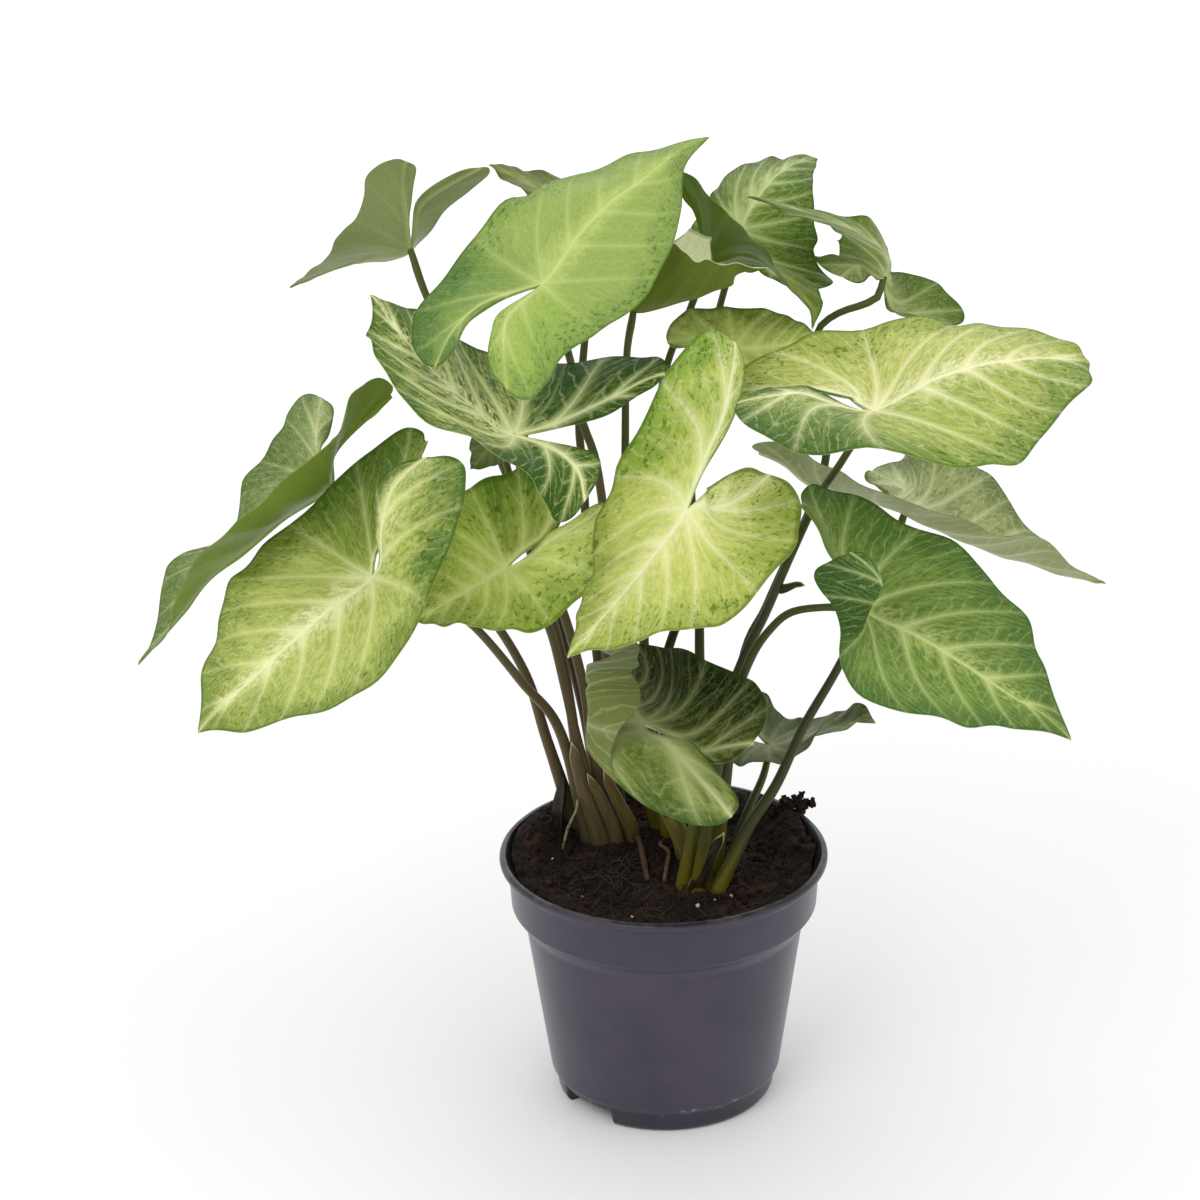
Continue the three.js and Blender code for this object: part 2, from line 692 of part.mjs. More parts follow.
// The flat arrowhead as points and triangles. Rows run from the rib out to the margin.
function flatArrowhead() {
  const outer = alongMargin(OUTER_MARGIN, MIDRIB_STEPS + LOBE_STEPS + 1);
  const notch = alongMargin(NOTCH_MARGIN, LOBE_STEPS + 1);
  const rib = [];
  for (let step = 0; step <= MIDRIB_STEPS; step += 1) rib.push([0, 1 - step / MIDRIB_STEPS]);
  for (let step = 1; step < LOBE_STEPS; step += 1) {
    rib.push(LOBE_RIB_END.map((reach) => (reach * step) / LOBE_STEPS));
  }
  rib.push(outer[outer.length - 1]);

  const points = [];
  const triangles = [];
  const known = new Map();
  const indexOf = (point) => {
    const key = point.map((value) => value.toFixed(5)).join();
    if (!known.has(key)) {
      known.set(key, points.length);
      points.push(point);
    }
    return known.get(key);
  };
  const mix = (from, to, weight) => from.map((value, axis) => value + (to[axis] - value) * weight);
  const addTriangle = (side, corners) => {
    const indices = corners.map(([across, along]) => indexOf([side * across, along]));
    if (new Set(indices).size === 3) triangles.push(side > 0 ? indices : indices.reverse());
  };
  const addRows = (side, from, to, across) => {
    for (let row = 0; row < from.length - 1; row += 1) {
      for (let column = 0; column < across; column += 1) {
        const corner = (step, reach) => mix(from[row + step], to[row + step], (column + reach) / across);
        addTriangle(side, [corner(0, 0), corner(1, 0), corner(1, 1)]);
        addTriangle(side, [corner(0, 0), corner(1, 1), corner(0, 1)]);
      }
    }
  };
  for (const side of [1, -1]) {
    addRows(side, rib, outer, STEPS_ACROSS);
    addRows(side, notch, rib.slice(MIDRIB_STEPS), 1);
  }
  return { points, triangles };
}

const ARROWHEAD = flatArrowhead();

// Gaussian elimination with row swaps: the unknowns of a square system with several right sides.
function solveSystem(matrix, right) {
  const size = matrix.length;
  const rows = matrix.map((row, index) => [...row, ...right[index]]);
  for (let column = 0; column < size; column += 1) {
    let best = column;
    for (let row = column + 1; row < size; row += 1) {
      if (Math.abs(rows[row][column]) > Math.abs(rows[best][column])) best = row;
    }
    [rows[column], rows[best]] = [rows[best], rows[column]];
    for (let row = 0; row < size; row += 1) {
      if (row === column) continue;
      const share = rows[row][column] / rows[column][column];
      for (let k = column; k < rows[row].length; k += 1) rows[row][k] -= share * rows[column][k];
    }
  }
  return rows.map((row, index) => row.slice(size).map((value) => value / row[index]));
}

// A thin plate bent through the landmarks: gives the place in space of any flat point.
function bentPlate({ spine, left, right }) {
  const flat = [];
  const placed = [];
  const add = (landmarks, side) => {
    for (const [name, place] of Object.entries(landmarks)) {
      const [across, along] = FLAT_LANDMARK[name];
      flat.push([side * across, along]);
      placed.push(place);
    }
  };
  add(spine, 1);
  add(left, -1);
  add(right, 1);
  const pull = (a, b) => {
    const square = (a[0] - b[0]) ** 2 + (a[1] - b[1]) ** 2;
    return square > 0 ? 0.5 * square * Math.log(square) : 0;
  };
  const matrix = flat.map((a) => [...flat.map((b) => pull(a, b)), 1, a[0], a[1]]);
  matrix.push([...flat.map(() => 1), 0, 0, 0]);
  matrix.push([...flat.map((a) => a[0]), 0, 0, 0]);
  matrix.push([...flat.map((a) => a[1]), 0, 0, 0]);
  const weights = solveSystem(matrix, [...placed, [0, 0, 0], [0, 0, 0], [0, 0, 0]]);
  return (point) => {
    const pulls = [...flat.map((b) => pull(point, b)), 1, point[0], point[1]];
    const sum = (axis) => pulls.reduce((total, value, index) => total + value * weights[index][axis], 0);
    return new THREE.Vector3(sum(0), sum(1), sum(2));
  };
}

// The blade's middle surface: its points, the upward direction at each, and the triangles.
function bladeSurface(leaf) {
  const place = bentPlate(leaf);
  const points = ARROWHEAD.points.map(place);
  const up = points.map(() => new THREE.Vector3());
  for (const [a, b, c] of ARROWHEAD.triangles) {
    const face = points[b].clone().sub(points[a]).cross(points[c].clone().sub(points[a]));
    [a, b, c].forEach((index) => up[index].add(face));
  }
  up.forEach((normal) => normal.normalize());
  return { points, up };
}

// A blade is its middle surface given a thickness, closed along the margin.
function makeBlade(name, leaf, surface) {
  const positions = [];
  const indices = [];
  const count = surface.points.length;
  for (const side of [0.5, -0.5]) {
    surface.points.forEach((point, index) => {
      const moved = point.clone().addScaledVector(surface.up[index], side * BLADE_THICKNESS);
      positions.push(moved.x, moved.y, moved.z);
    });
  }
  const edges = new Map();
  for (const [a, b, c] of ARROWHEAD.triangles) {
    indices.push(a, b, c, c + count, b + count, a + count);
    [[a, b], [b, c], [c, a]].forEach(([from, to]) => edges.set(`${from} ${to}`, [from, to]));
  }
  for (const [from, to] of edges.values()) {
    if (!edges.has(`${to} ${from}`)) {
      indices.push(to, from, from + count, to, from + count, to + count);
    }
  }
  const geometry = new THREE.BufferGeometry();
  geometry.setAttribute("position", new THREE.Float32BufferAttribute(positions, 3));
  geometry.setIndex(indices);
  geometry.computeVertexNormals();
  return makeMesh(`${name}_blade`, geometry, leaf.material);
}

// ---- Stalks ----

// A stalk stops just short of its crown and of its blade's underside, and keeps a little more clear
// of a blade that bends sharply at the junction.
function makeStalk(name, { stalk, spine }, surface) {
  const crownTop = CROWNS[stalk.crown].top;
  const junction = ARROWHEAD.points.findIndex(([across, along]) => across === 0 && along === 0);
  const up = surface.up[junction];
  const meeting = new THREE.Vector3(...spine.junction);
  const climb = stalk.through.map((place) => new THREE.Vector3(...place));
  const approach = meeting.clone().sub(climb[climb.length - 1]).normalize();
  const tilt = Math.sqrt(1 - approach.dot(up) ** 2);
  const below = BLADE_THICKNESS / 2 + GAP + STALK_TOP_RADIUS * tilt + (stalk.clear ?? 0);
  const foot = new THREE.Vector3(stalk.foot[0], stalk.foot[1], crownTop + GAP);
  const points = [foot, ...climb, meeting.addScaledVector(up, -below)];
  const radiusAt = (part) => STALK_BASE_RADIUS + (STALK_TOP_RADIUS - STALK_BASE_RADIUS) * Math.sqrt(part);
  return makeMesh(`${name}_stalk`, taperedTube(points, radiusAt, STALK_SIDES, STALK_STEPS), stalkSkin);
}

// ---- Roots, dead sheath and loose peat ----

const ROOTS = {
  aerial_root: [[-31, 13, 110], [-32, 13, 105], [-35, 13, 98], [-37, 14, 89.2]],
  stub_root: [[-10.5, 17.5, 91.6], [-9, 11, 94.5], [-8, 3, 94], [-7, -5, 91.5], [-6, -12, 89]],
  hooked_root: [[0.5, 16, 91], [-1, 9, 93], [2, 4, 92.4], [1, -5, 91], [0, -13, 89]],
};

function makeRoot([name, places]) {
  const points = places.map((place) => new THREE.Vector3(...place));
  const radiusAt = (part) => ROOT_RADIUS * (1 - ROOT_TAPER * part);
  return makeMesh(name, taperedTube(points, radiusAt, STALK_SIDES, STALK_STEPS), rootSkin);
}

// A dead sheath, dry and papery, standing outside the left clump: widest low down, pointed above.
function makePaperySheath() {
  const shape = new THREE.Shape();
  const halfway = SHEATH_LENGTH / 2;
  shape.moveTo(-SHEATH_HALF_WIDTH, 0);
  shape.quadraticCurveTo(-SHEATH_HALF_WIDTH, halfway, 0, SHEATH_LENGTH);
  shape.quadraticCurveTo(SHEATH_HALF_WIDTH / 2, halfway, SHEATH_HALF_WIDTH, 0);
  shape.closePath();
  const sheet = {
    depth: SHEATH_THICKNESS, bevelEnabled: false, curveSegments: SHEATH_CURVE_STEPS,
  };
  const geometry = new THREE.ExtrudeGeometry(shape, sheet);
  geometry.rotateX(Math.PI / 2);
  geometry.rotateZ(SHEATH_TURN);
  geometry.translate(...SHEATH_PLACE);
  return makeMesh("papery_sheath", geometry, driedSheath);
}

// A lump of peat left on the pot's rim.
function makePeatLump() {
  const geometry = new THREE.IcosahedronGeometry(1, 1);
  geometry.scale(...PEAT_LUMP_SIZE);
  geometry.rotateZ(PEAT_LUMP_TURN);
  geometry.translate(...PEAT_LUMP_PLACE);
  return makeMesh("peat_lump", geometry, pottingSoil);
}

// ---- The whole plant ----

const plant = new THREE.Group();
plant.add(makePot(), makeSoil());

for (const [name, crown] of Object.entries(CROWNS)) {
  plant.add(makeMesh(name, crownGeometry(crown, 0), crownStem));
}

for (const [name, leaf] of Object.entries(LEAVES)) {
  const surface = bladeSurface(leaf);
  plant.add(makeBlade(name, leaf, surface), makeStalk(name, leaf, surface));
}

Object.entries(ROOTS).forEach((root) => plant.add(makeRoot(root)));
plant.add(makePaperySheath(), makePeatLump());

export default plant;
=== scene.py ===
# %% [markdown]
# # An arrowhead plant in its nursery pot
#
# The plant is a young arrowhead vine: nineteen thin, waxy, arrow-shaped leaves on slender stalks,
# which rise from three crowns in one potful of peat. The solids of the frame give every leaf its
# place. This lesson grows the fine surface on them: veins, quilted blades, marbled colour, sheathed
# stalks, crumbly peat and the moulded pot.

# %% Open the frame
import json
import math
from types import SimpleNamespace

import bpy
import numpy as np
from mathutils import Matrix, Vector, noise


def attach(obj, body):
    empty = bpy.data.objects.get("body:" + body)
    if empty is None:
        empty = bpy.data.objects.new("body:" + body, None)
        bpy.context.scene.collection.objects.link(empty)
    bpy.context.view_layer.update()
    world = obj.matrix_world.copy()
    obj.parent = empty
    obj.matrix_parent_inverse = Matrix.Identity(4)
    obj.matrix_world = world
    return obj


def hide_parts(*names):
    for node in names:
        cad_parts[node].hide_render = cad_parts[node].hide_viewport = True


MM = 0.001
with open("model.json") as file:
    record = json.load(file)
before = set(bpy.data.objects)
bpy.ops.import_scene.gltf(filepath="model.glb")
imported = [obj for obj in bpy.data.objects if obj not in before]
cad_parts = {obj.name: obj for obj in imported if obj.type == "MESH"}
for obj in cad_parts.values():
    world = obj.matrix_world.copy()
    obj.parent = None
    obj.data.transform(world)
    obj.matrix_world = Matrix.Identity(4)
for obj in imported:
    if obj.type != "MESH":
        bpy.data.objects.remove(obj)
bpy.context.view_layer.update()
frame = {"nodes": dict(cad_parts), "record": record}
print("frame nodes:", len(frame["nodes"]))

# %% [markdown]
# ## Camera
#
# A long lens, a little above the plant and looking down on it, keeps the leaves' proportions. The
# view is one turn about X for the pitch and a small one about its own axis for the roll.

# %% Place the camera
CAMERA_PLACE = Vector((-21.7, -1270.3, 735.2)) * MM
CAMERA_LENS = 116.5
SENSOR_WIDTH = 36
LOOKING_DOWN = math.radians(23.04)
CAMERA_ROLL = math.radians(0.935)
NEAREST = 0.05

camera = bpy.data.objects.new("camera", bpy.data.cameras.new("camera"))
camera.data.lens = CAMERA_LENS
camera.data.sensor_width = SENSOR_WIDTH
camera.data.clip_start = NEAREST
tilt = Matrix.Rotation(math.pi / 2 - LOOKING_DOWN, 4, "X") @ Matrix.Rotation(-CAMERA_ROLL, 4, "Z")
camera.matrix_world = Matrix.Translation(CAMERA_PLACE) @ tilt
bpy.context.scene.collection.objects.link(camera)
bpy.context.scene.camera = camera
print("camera at", [round(v, 3) for v in CAMERA_PLACE])

# %% [markdown]
# ## The flat arrowhead
#
# Every leaf of this plant grows from one pattern: a midrib, two lobes behind the junction with the
# stalk, and side veins that arch forward to the margin. So the pattern is drawn once, flat, with a
# blade one unit long. Its mesh follows the veins: each row of faces runs from a rib out to the
# margin, so a vein is simply a row, and the distance to it is known exactly at every point.
#
# A few points hold the outline, and a Catmull-Rom curve, which passes through its points, joins them.

# %% Outline
OUTER_MARGIN = [(0, 1), (.04, .945), (.12, .85), (.19, .74), (.25, .62), (.30, .49), (.345, .34),
                (.36, .18), (.338, .03), (.33, -.14), (.348, -.27), (.32, -.39), (.25, -.455),
                (.19, -.46)]
NOTCH_MARGIN = [(0, 0), (.018, -.08), (.05, -.22), (.09, -.36), (.13, -.435), (.19, -.46)]
LOBE_RIB_END = np.array([.19, -.38])
LOBE_RIB_SWING = 6


def padded(points):
    """The points as an array, with one more beyond either end, so that a curve can start there."""
    points = np.asarray(points, float)
    return np.vstack([2 * points[0] - points[1], points, 2 * points[-1] - points[-2]])


def catmull_rom(a, b, c, d, t):
    """A point of the curve between b and c, which heads as a and d make it; t runs from 0 to 1."""
    return 0.5 * (2 * b + (c - a) * t + (2 * a - 5 * b + 4 * c - d) * t * t
                  + (3 * b - a - 3 * c + d) * t ** 3)


def curve_at(points, place):
    """The point at a fractional place along a smooth curve through the points."""
    start = min(int(place), len(points) - 2)
    return catmull_rom(*padded(points)[start:start + 4], place - start)


print("outline:", len(OUTER_MARGIN), "outer points,", len(NOTCH_MARGIN), "points in the notch")

# %% [markdown]
# ### Rows of faces
#
# From the tip to the junction the rows leave the midrib. Around the junction they fan out from one
# point, and in the lobes they leave a rib of the lobe. The parts of the way at which one kind of row
# gives over to the next, and where their ends lie on the margin, are chosen so that rows never cross.

# %% Rows from rib to margin
VEINS = 9
ROWS_PER_VEIN = 12
COLUMNS = 22
NOTCH_COLUMNS = 8
MIDRIB_PART = 0.56
FAN_PART = 0.70
FAN_MARGIN = (5.5, 8.6)
VEIN_BOW = 0.12


def row_ends(q):
    """Where a row leaves its rib and where it meets the outer margin; q runs from tip to lobe."""
    if q <= MIDRIB_PART:
        part = q / MIDRIB_PART
        return np.array([0, 1 - part]), curve_at(OUTER_MARGIN, FAN_MARGIN[0] * part)
    if q <= FAN_PART:
        part = (q - MIDRIB_PART) / (FAN_PART - MIDRIB_PART)
        return np.zeros(2), curve_at(OUTER_MARGIN, FAN_MARGIN[0] + part * (FAN_MARGIN[1] - FAN_MARGIN[0]))
    part = (q - FAN_PART) / (1 - FAN_PART)
    lobe_tip = np.array(OUTER_MARGIN[-1])
    rib = LOBE_RIB_END * part + (lobe_tip - LOBE_RIB_END) * part ** LOBE_RIB_SWING
    last = len(OUTER_MARGIN) - 1
    return rib, curve_at(OUTER_MARGIN, FAN_MARGIN[1] + part * (last - FAN_MARGIN[1]))


def arched(start, end, columns, bow):
    """A row from start to end that bows back before it runs forward, as a side vein does."""
    c = np.linspace(0, 1, columns + 1)[:, None]
    sideways = np.array([(end - start)[1], -(end - start)[0]])
    control = (start + end) / 2 + bow * sideways
    return (1 - c) ** 2 * start + 2 * c * (1 - c) * control + c ** 2 * end


print("rows in a half:", VEINS * ROWS_PER_VEIN, "with", COLUMNS, "columns")

# %% [markdown]
# ### One mesh from two halves
#
# Each half is two grids: from the ribs out to the margin, and from the lobe's rib in to the notch.
# Points that the grids share get one number. With each point go the facts that relief and colour
# need later, such as its distance from the nearest vein. Arc lengths in the notch start at a number
# of their own, so that waves along the two margins don't match.

# %% Mesh the arrowhead
NOTCH_ARC = 5


class Arrowhead:
    """The flat pattern: points, faces, rim, and what is known about each point."""

    def __init__(self):
        self.points, self.faces, self.facts, self.known = [], [], [], {}
        for side in (1, -1):
            self.add_half(side)
        self.points = np.array(self.points)
        self.facts = np.array(self.facts)
        edges = set()
        for face in self.faces:
            edges.update(zip(face, face[1:] + face[:1]))
        self.rim = [(a, b) for a, b in sorted(edges) if (b, a) not in edges]

    def add_half(self, side):
        rows = VEINS * ROWS_PER_VEIN
        ends = [row_ends(row / rows) for row in range(rows + 1)]
        bows = [VEIN_BOW * math.sin(math.pi * min(1, 1.2 * row / rows)) for row in range(rows + 1)]
        blade = np.array([arched(rib, margin, COLUMNS, bow) for (rib, margin), bow in zip(ends, bows)])
        self.add_grid(blade, side, 0, rows, outside=True)
        first = round(FAN_PART * rows)
        last_notch = len(NOTCH_MARGIN) - 1
        notch = np.array([
            arched(curve_at(NOTCH_MARGIN, last_notch * (row - first) / (rows - first)), ends[row][0],
                   NOTCH_COLUMNS, 0)
            for row in range(first, rows + 1)])
        self.add_grid(notch, side, first, rows, outside=False)

    def add_grid(self, grid, side, first, rows, outside):
        """Adds a grid [row, column]; a row starts at its rib outside, and ends there at the notch."""
        rib, margin = (grid[:, 0], grid[:, -1]) if outside else (grid[:, -1], grid[:, 0])
        span = np.linalg.norm(margin - rib, axis=1) + 1e-9
        outward = (margin - rib) / span[:, None]
        steps = np.linalg.norm(np.diff(margin, axis=0), axis=1)
        arc = np.concatenate([[0], np.cumsum(steps)]) + (0 if outside else NOTCH_ARC)
        numbers = np.zeros(grid.shape[:2], int)
        for row in range(len(grid)):
            place = (first + row) / ROWS_PER_VEIN
            vein = min(round(place) * ROWS_PER_VEIN, rows) - first
            half = (math.floor(place) + 0.5) * ROWS_PER_VEIN - first
            nearest_vein = grid[int(np.clip(vein, 0, len(grid) - 1))]
            nearest_half = grid[int(np.clip(half, 0, len(grid) - 1))]
            between = 1 - abs(place % 1 - 0.5) * 2
            for column, point in enumerate(grid[row]):
                facts = (np.linalg.norm(point - nearest_vein[column]),
                         np.linalg.norm(point - nearest_half[column]),
                         np.linalg.norm(point - rib[row]), np.linalg.norm(point - margin[row]),
                         np.linalg.norm(point - rib[row]) / span[row], (first + row) / rows, between, side,
                         outward[row][0] * side, outward[row][1], arc[row], 0 if outside else 1)
                numbers[row, column] = self.number(point * (side, 1), facts)
        for row in range(len(grid) - 1):
            for column in range(grid.shape[1] - 1):
                corners = [numbers[row, column], numbers[row + 1, column],
                           numbers[row + 1, column + 1], numbers[row, column + 1]]
                face = list(dict.fromkeys(int(n) for n in corners))
                if len(face) > 2:
                    self.faces.append(face if side > 0 else face[::-1])

    def number(self, point, facts):
        """The number of a point; a point that is already known keeps its number and facts."""
        key = (round(point[0], 5) + 0.0, round(point[1], 5) + 0.0)
        if key not in self.known:
            self.known[key] = len(self.points)
            self.points.append(point)
            self.facts.append(facts)
        return self.known[key]


arrowhead = Arrowhead()
VEIN_GAP, HALF_GAP, RIB_GAP, EDGE_GAP, REACH, ROW, BETWEEN, SIDE = arrowhead.facts.T[:8]
OUTWARD = arrowhead.facts[:, 8:10]
ARC, NOTCH_SIDE = arrowhead.facts.T[10:]
print("arrowhead:", len(arrowhead.points), "points,", len(arrowhead.faces), "faces")

# %% [markdown]
# ## Bending the arrowhead into a leaf
#
# A leaf is a thin plate, and a thin plate that is held at a few points takes one smooth shape
# between them. The thin-plate spline is that shape. Each leaf lists where its landmarks are held:
# down the spine, and on its left and right half as seen from above with the tip ahead. A leaf that
# is folded over along its length is also held along the fold.

# %% Bend a thin plate
LANDMARKS = {
    "junction": (0, 0), "quarter": (0, .25), "middle": (0, .5), "three_quarters": (0, .75), "tip": (0, 1),
    "near_tip": (.12, .85), "edge": (.24, .62), "flank": (.345, .34), "shoulder": (.36, .18),
    "waist": (.338, .03), "side": (.33, -.14), "lobe_end": (.335, -.34), "lobe_tip": (.24, -.46),
    "lobe_inner": (.11, -.40), "notch": (.06, -.22),
    "fold_tip": (.06, .85), "fold_edge": (.13, .62), "fold_middle": (.155, .49),
    "fold_flank": (.18, .36), "fold_shoulder": (.19, .18), "fold_side": (.19, -.14),
}


def smooth_spine(spine):
    """The spine's landmarks, with two more on the even arc through its three."""
    start, middle, tip = (np.array(spine[name], float) for name in ("junction", "middle", "tip"))
    arc = {"quarter": .375 * start + .75 * middle - .125 * tip,
           "three_quarters": -.125 * start + .75 * middle + .375 * tip}
    return {**arc, **spine}


def pull(a, b):
    """The thin-plate kernel between two sets of flat points."""
    square = ((a[:, None] - b[None]) ** 2).sum(2)
    return 0.5 * square * np.log(np.where(square > 0, square, 1))


def bend(leaf, flat):
    """Places flat arrowhead points in space, in millimetres, through the leaf's landmarks."""
    held, places = [], []
    for part, side in ((smooth_spine(leaf["spine"]), 1), (leaf["left"], -1), (leaf["right"], 1)):
        for name, place in part.items():
            held.append((side * LANDMARKS[name][0], LANDMARKS[name][1]))
            places.append(place)
    held, places = np.array(held, float), np.array(places, float)
    plane = np.hstack([np.ones((len(held), 1)), held])
    system = np.block([[pull(held, held), plane], [plane.T, np.zeros((3, 3))]])
    weights = np.linalg.solve(system, np.vstack([places, np.zeros((3, 3))]))
    return np.hstack([pull(flat, held), np.ones((len(flat), 1)), flat]) @ weights


print("landmarks:", len(LANDMARKS))

# %% [markdown]
# ## Where each leaf is held
#
# Places are millimetres in the frame. A stalk is listed from its crown up; its last stretch, to the
# blade's junction, is added when it is grown. waving says how much of the usual quilting, waves and
# ripples a leaf has: a folded or tightly held one has little. The leaves come in three lots, first
# those that grow from the left crown.

# %% The leaves of the left crown
LEAVES = {
    "top_leaf": dict(
        spine=dict(junction=(-40, -24, 321), middle=(-14, 2, 343), tip=(19, 33, 355)),
        left=dict(near_tip=(-2, 30, 352), edge=(-24, 22, 345), shoulder=(-53, 3, 340),
                  side=(-77, -14, 317), lobe_tip=(-79, -37, 297), notch=(-61, -32, 314)),
        right=dict(near_tip=(10, 18, 348), edge=(6, -2, 332), shoulder=(-12, -30, 311),
                   side=(-33, -47, 303), lobe_tip=(-48, -60, 294), notch=(-55, -40, 315)),
        stalk=[(-21.5, 29.5, 88), (-20, 26, 144), (-19, 17, 204), (-22, 12, 241), (-27, 14, 258),
               (-30, 14, 277), (-35, -1, 302)]),
    "upper_left_leaf": dict(
        spine=dict(junction=(-88, 56, 309), middle=(-110, 64, 301), tip=(-132, 65, 292)),
        left=dict(edge=(-119, 52, 305), shoulder=(-110, 44, 320), side=(-103, 51, 330),
                  lobe_tip=(-91, 56, 342), notch=(-87, 59, 324)),
        right=dict(edge=(-112, 76, 297), shoulder=(-90, 78, 299), side=(-77, 76, 315),
                   lobe_tip=(-59, 70, 334), notch=(-85, 64, 323)),
        stalk=[(-22, 39, 88), (-28, 36, 134), (-41, 34, 190), (-57, 40, 234), (-70, 45, 266),
               (-82, 52, 292)], waving=.4),
    "tucked_leaf": dict(
        spine=dict(junction=(-20, 41, 323), middle=(-40, 42, 334), tip=(-58, 41, 344)),
        left=dict(edge=(-46, 30, 337), shoulder=(-29, 24, 326), side=(-16, 25, 319),
                  lobe_tip=(-4, 28, 314)),
        right=dict(edge=(-44, 53, 338), shoulder=(-25, 58, 329), side=(-13, 56, 323),
                   lobe_tip=(-1, 51, 317)),
        stalk=[(-15, 38, 88), (-20, 34, 130), (-25, 27, 186), (-27, 24, 234), (-28, 27, 256),
               (-24, 35, 295)]),
    "cream_leaf": dict(
        spine=dict(junction=(-50, -26, 268), middle=(-75, -23, 288), tip=(-98, -16, 316)),
        left=dict(edge=(-96, -44, 305), shoulder=(-73, -62, 284), side=(-44, -63, 268),
                  lobe_tip=(-30, -56, 250), notch=(-28, -35, 265)),
        right=dict(edge=(-78, 7, 300), shoulder=(-58, 18, 280), side=(-31, 8, 283),
                   lobe_end=(-6, 4, 283), lobe_tip=(3, -8, 286), lobe_inner=(-5, -14, 278),
                   notch=(-20, -23, 274)),
        stalk=[(-14.5, 23.5, 88), (-24, 20, 119), (-28, 12, 155), (-35, 2, 190), (-45, 7, 215),
               (-49, 11, 240), (-51, -8, 259)]),
    "left_leaf": dict(
        spine=dict(junction=(-99, -54, 228), middle=(-127, -75, 212), tip=(-158, -83, 184)),
        left=dict(near_tip=(-144, -90, 188), edge=(-122, -92, 194), shoulder=(-88, -86, 214),
                  side=(-70, -68, 249), lobe_tip=(-72, -58, 273), lobe_inner=(-93, -57, 265),
                  notch=(-97, -55, 244)),
        right=dict(near_tip=(-156, -73, 199), edge=(-151, -59, 214), shoulder=(-138, -33, 231),
                   side=(-113, -24, 250), lobe_tip=(-81, -20, 268), lobe_inner=(-85, -26, 253),
                   notch=(-95, -46, 238)),
        stalk=[(-27, 22, 88), (-37, 12, 138), (-50, -8, 167), (-66, -24, 196), (-79, -31, 208),
               (-92, -47, 221)]),
    "folded_left_leaf": dict(
        spine=dict(junction=(-115, -15, 246), middle=(-147, -28, 225), tip=(-182, -43, 192)),
        left=dict(edge=(-157, -49, 235), shoulder=(-125, -54, 264), side=(-107, -34, 280),
                  lobe_end=(-99, -22, 287), lobe_tip=(-92, -13, 281), lobe_inner=(-99, -12, 271),
                  notch=(-114, -16, 259)),
        right=dict(near_tip=(-175, -28, 201), edge=(-173, -14, 217), flank=(-149, 4, 223),
                   shoulder=(-149, 15, 236), side=(-133, 16, 254), lobe_tip=(-122, 23, 266),
                   notch=(-118, -3, 257)),
        stalk=[(-31, 28, 88), (-42, 22, 130), (-50, 15, 162), (-66, 4, 194), (-92, -6, 222)]),
    "middle_left_leaf": dict(
        spine=dict(junction=(-54, -21, 217), middle=(-70, -36, 213), tip=(-85, -56, 212)),
        left=dict(edge=(-68, -57, 212), shoulder=(-46, -50, 205), side=(-27, -37, 212),
                  lobe_tip=(-16, -23, 239), notch=(-39, -21, 229)),
        right=dict(edge=(-78, -26, 222), shoulder=(-72, -6, 238), side=(-56, -1, 244),
                   lobe_tip=(-31, 3, 243), notch=(-40, -11, 223)),
        stalk=[(-21, 20, 88), (-30, 15, 129), (-35, 6, 159), (-40, -6, 187), (-47, -14, 203)]),
    "young_leaf": dict(
        spine=dict(junction=(-56, 26, 250), middle=(-61, 10, 249), tip=(-66, -6, 248)),
        left=dict(edge=(-58, 5, 245), shoulder=(-52, 18, 244), side=(-49, 27, 245),
                  lobe_tip=(-47, 35, 247)),
        right=dict(edge=(-66, 8, 252), shoulder=(-64, 23, 256), side=(-60, 32, 256),
                   lobe_tip=(-55, 39, 255)),
        stalk=[(-28, 35, 88), (-36, 30, 160), (-47, 29, 203), (-54, 28, 235)]),
}
LEFT_CROWN_LEAVES = list(LEAVES)
print("leaves of the left crown:", len(LEFT_CROWN_LEAVES))

# %% [markdown]
# ### The leaves behind
#
# Five leaves stand at the back, and two of them, the drooping and the curled one, turn their faces
# away from the front.

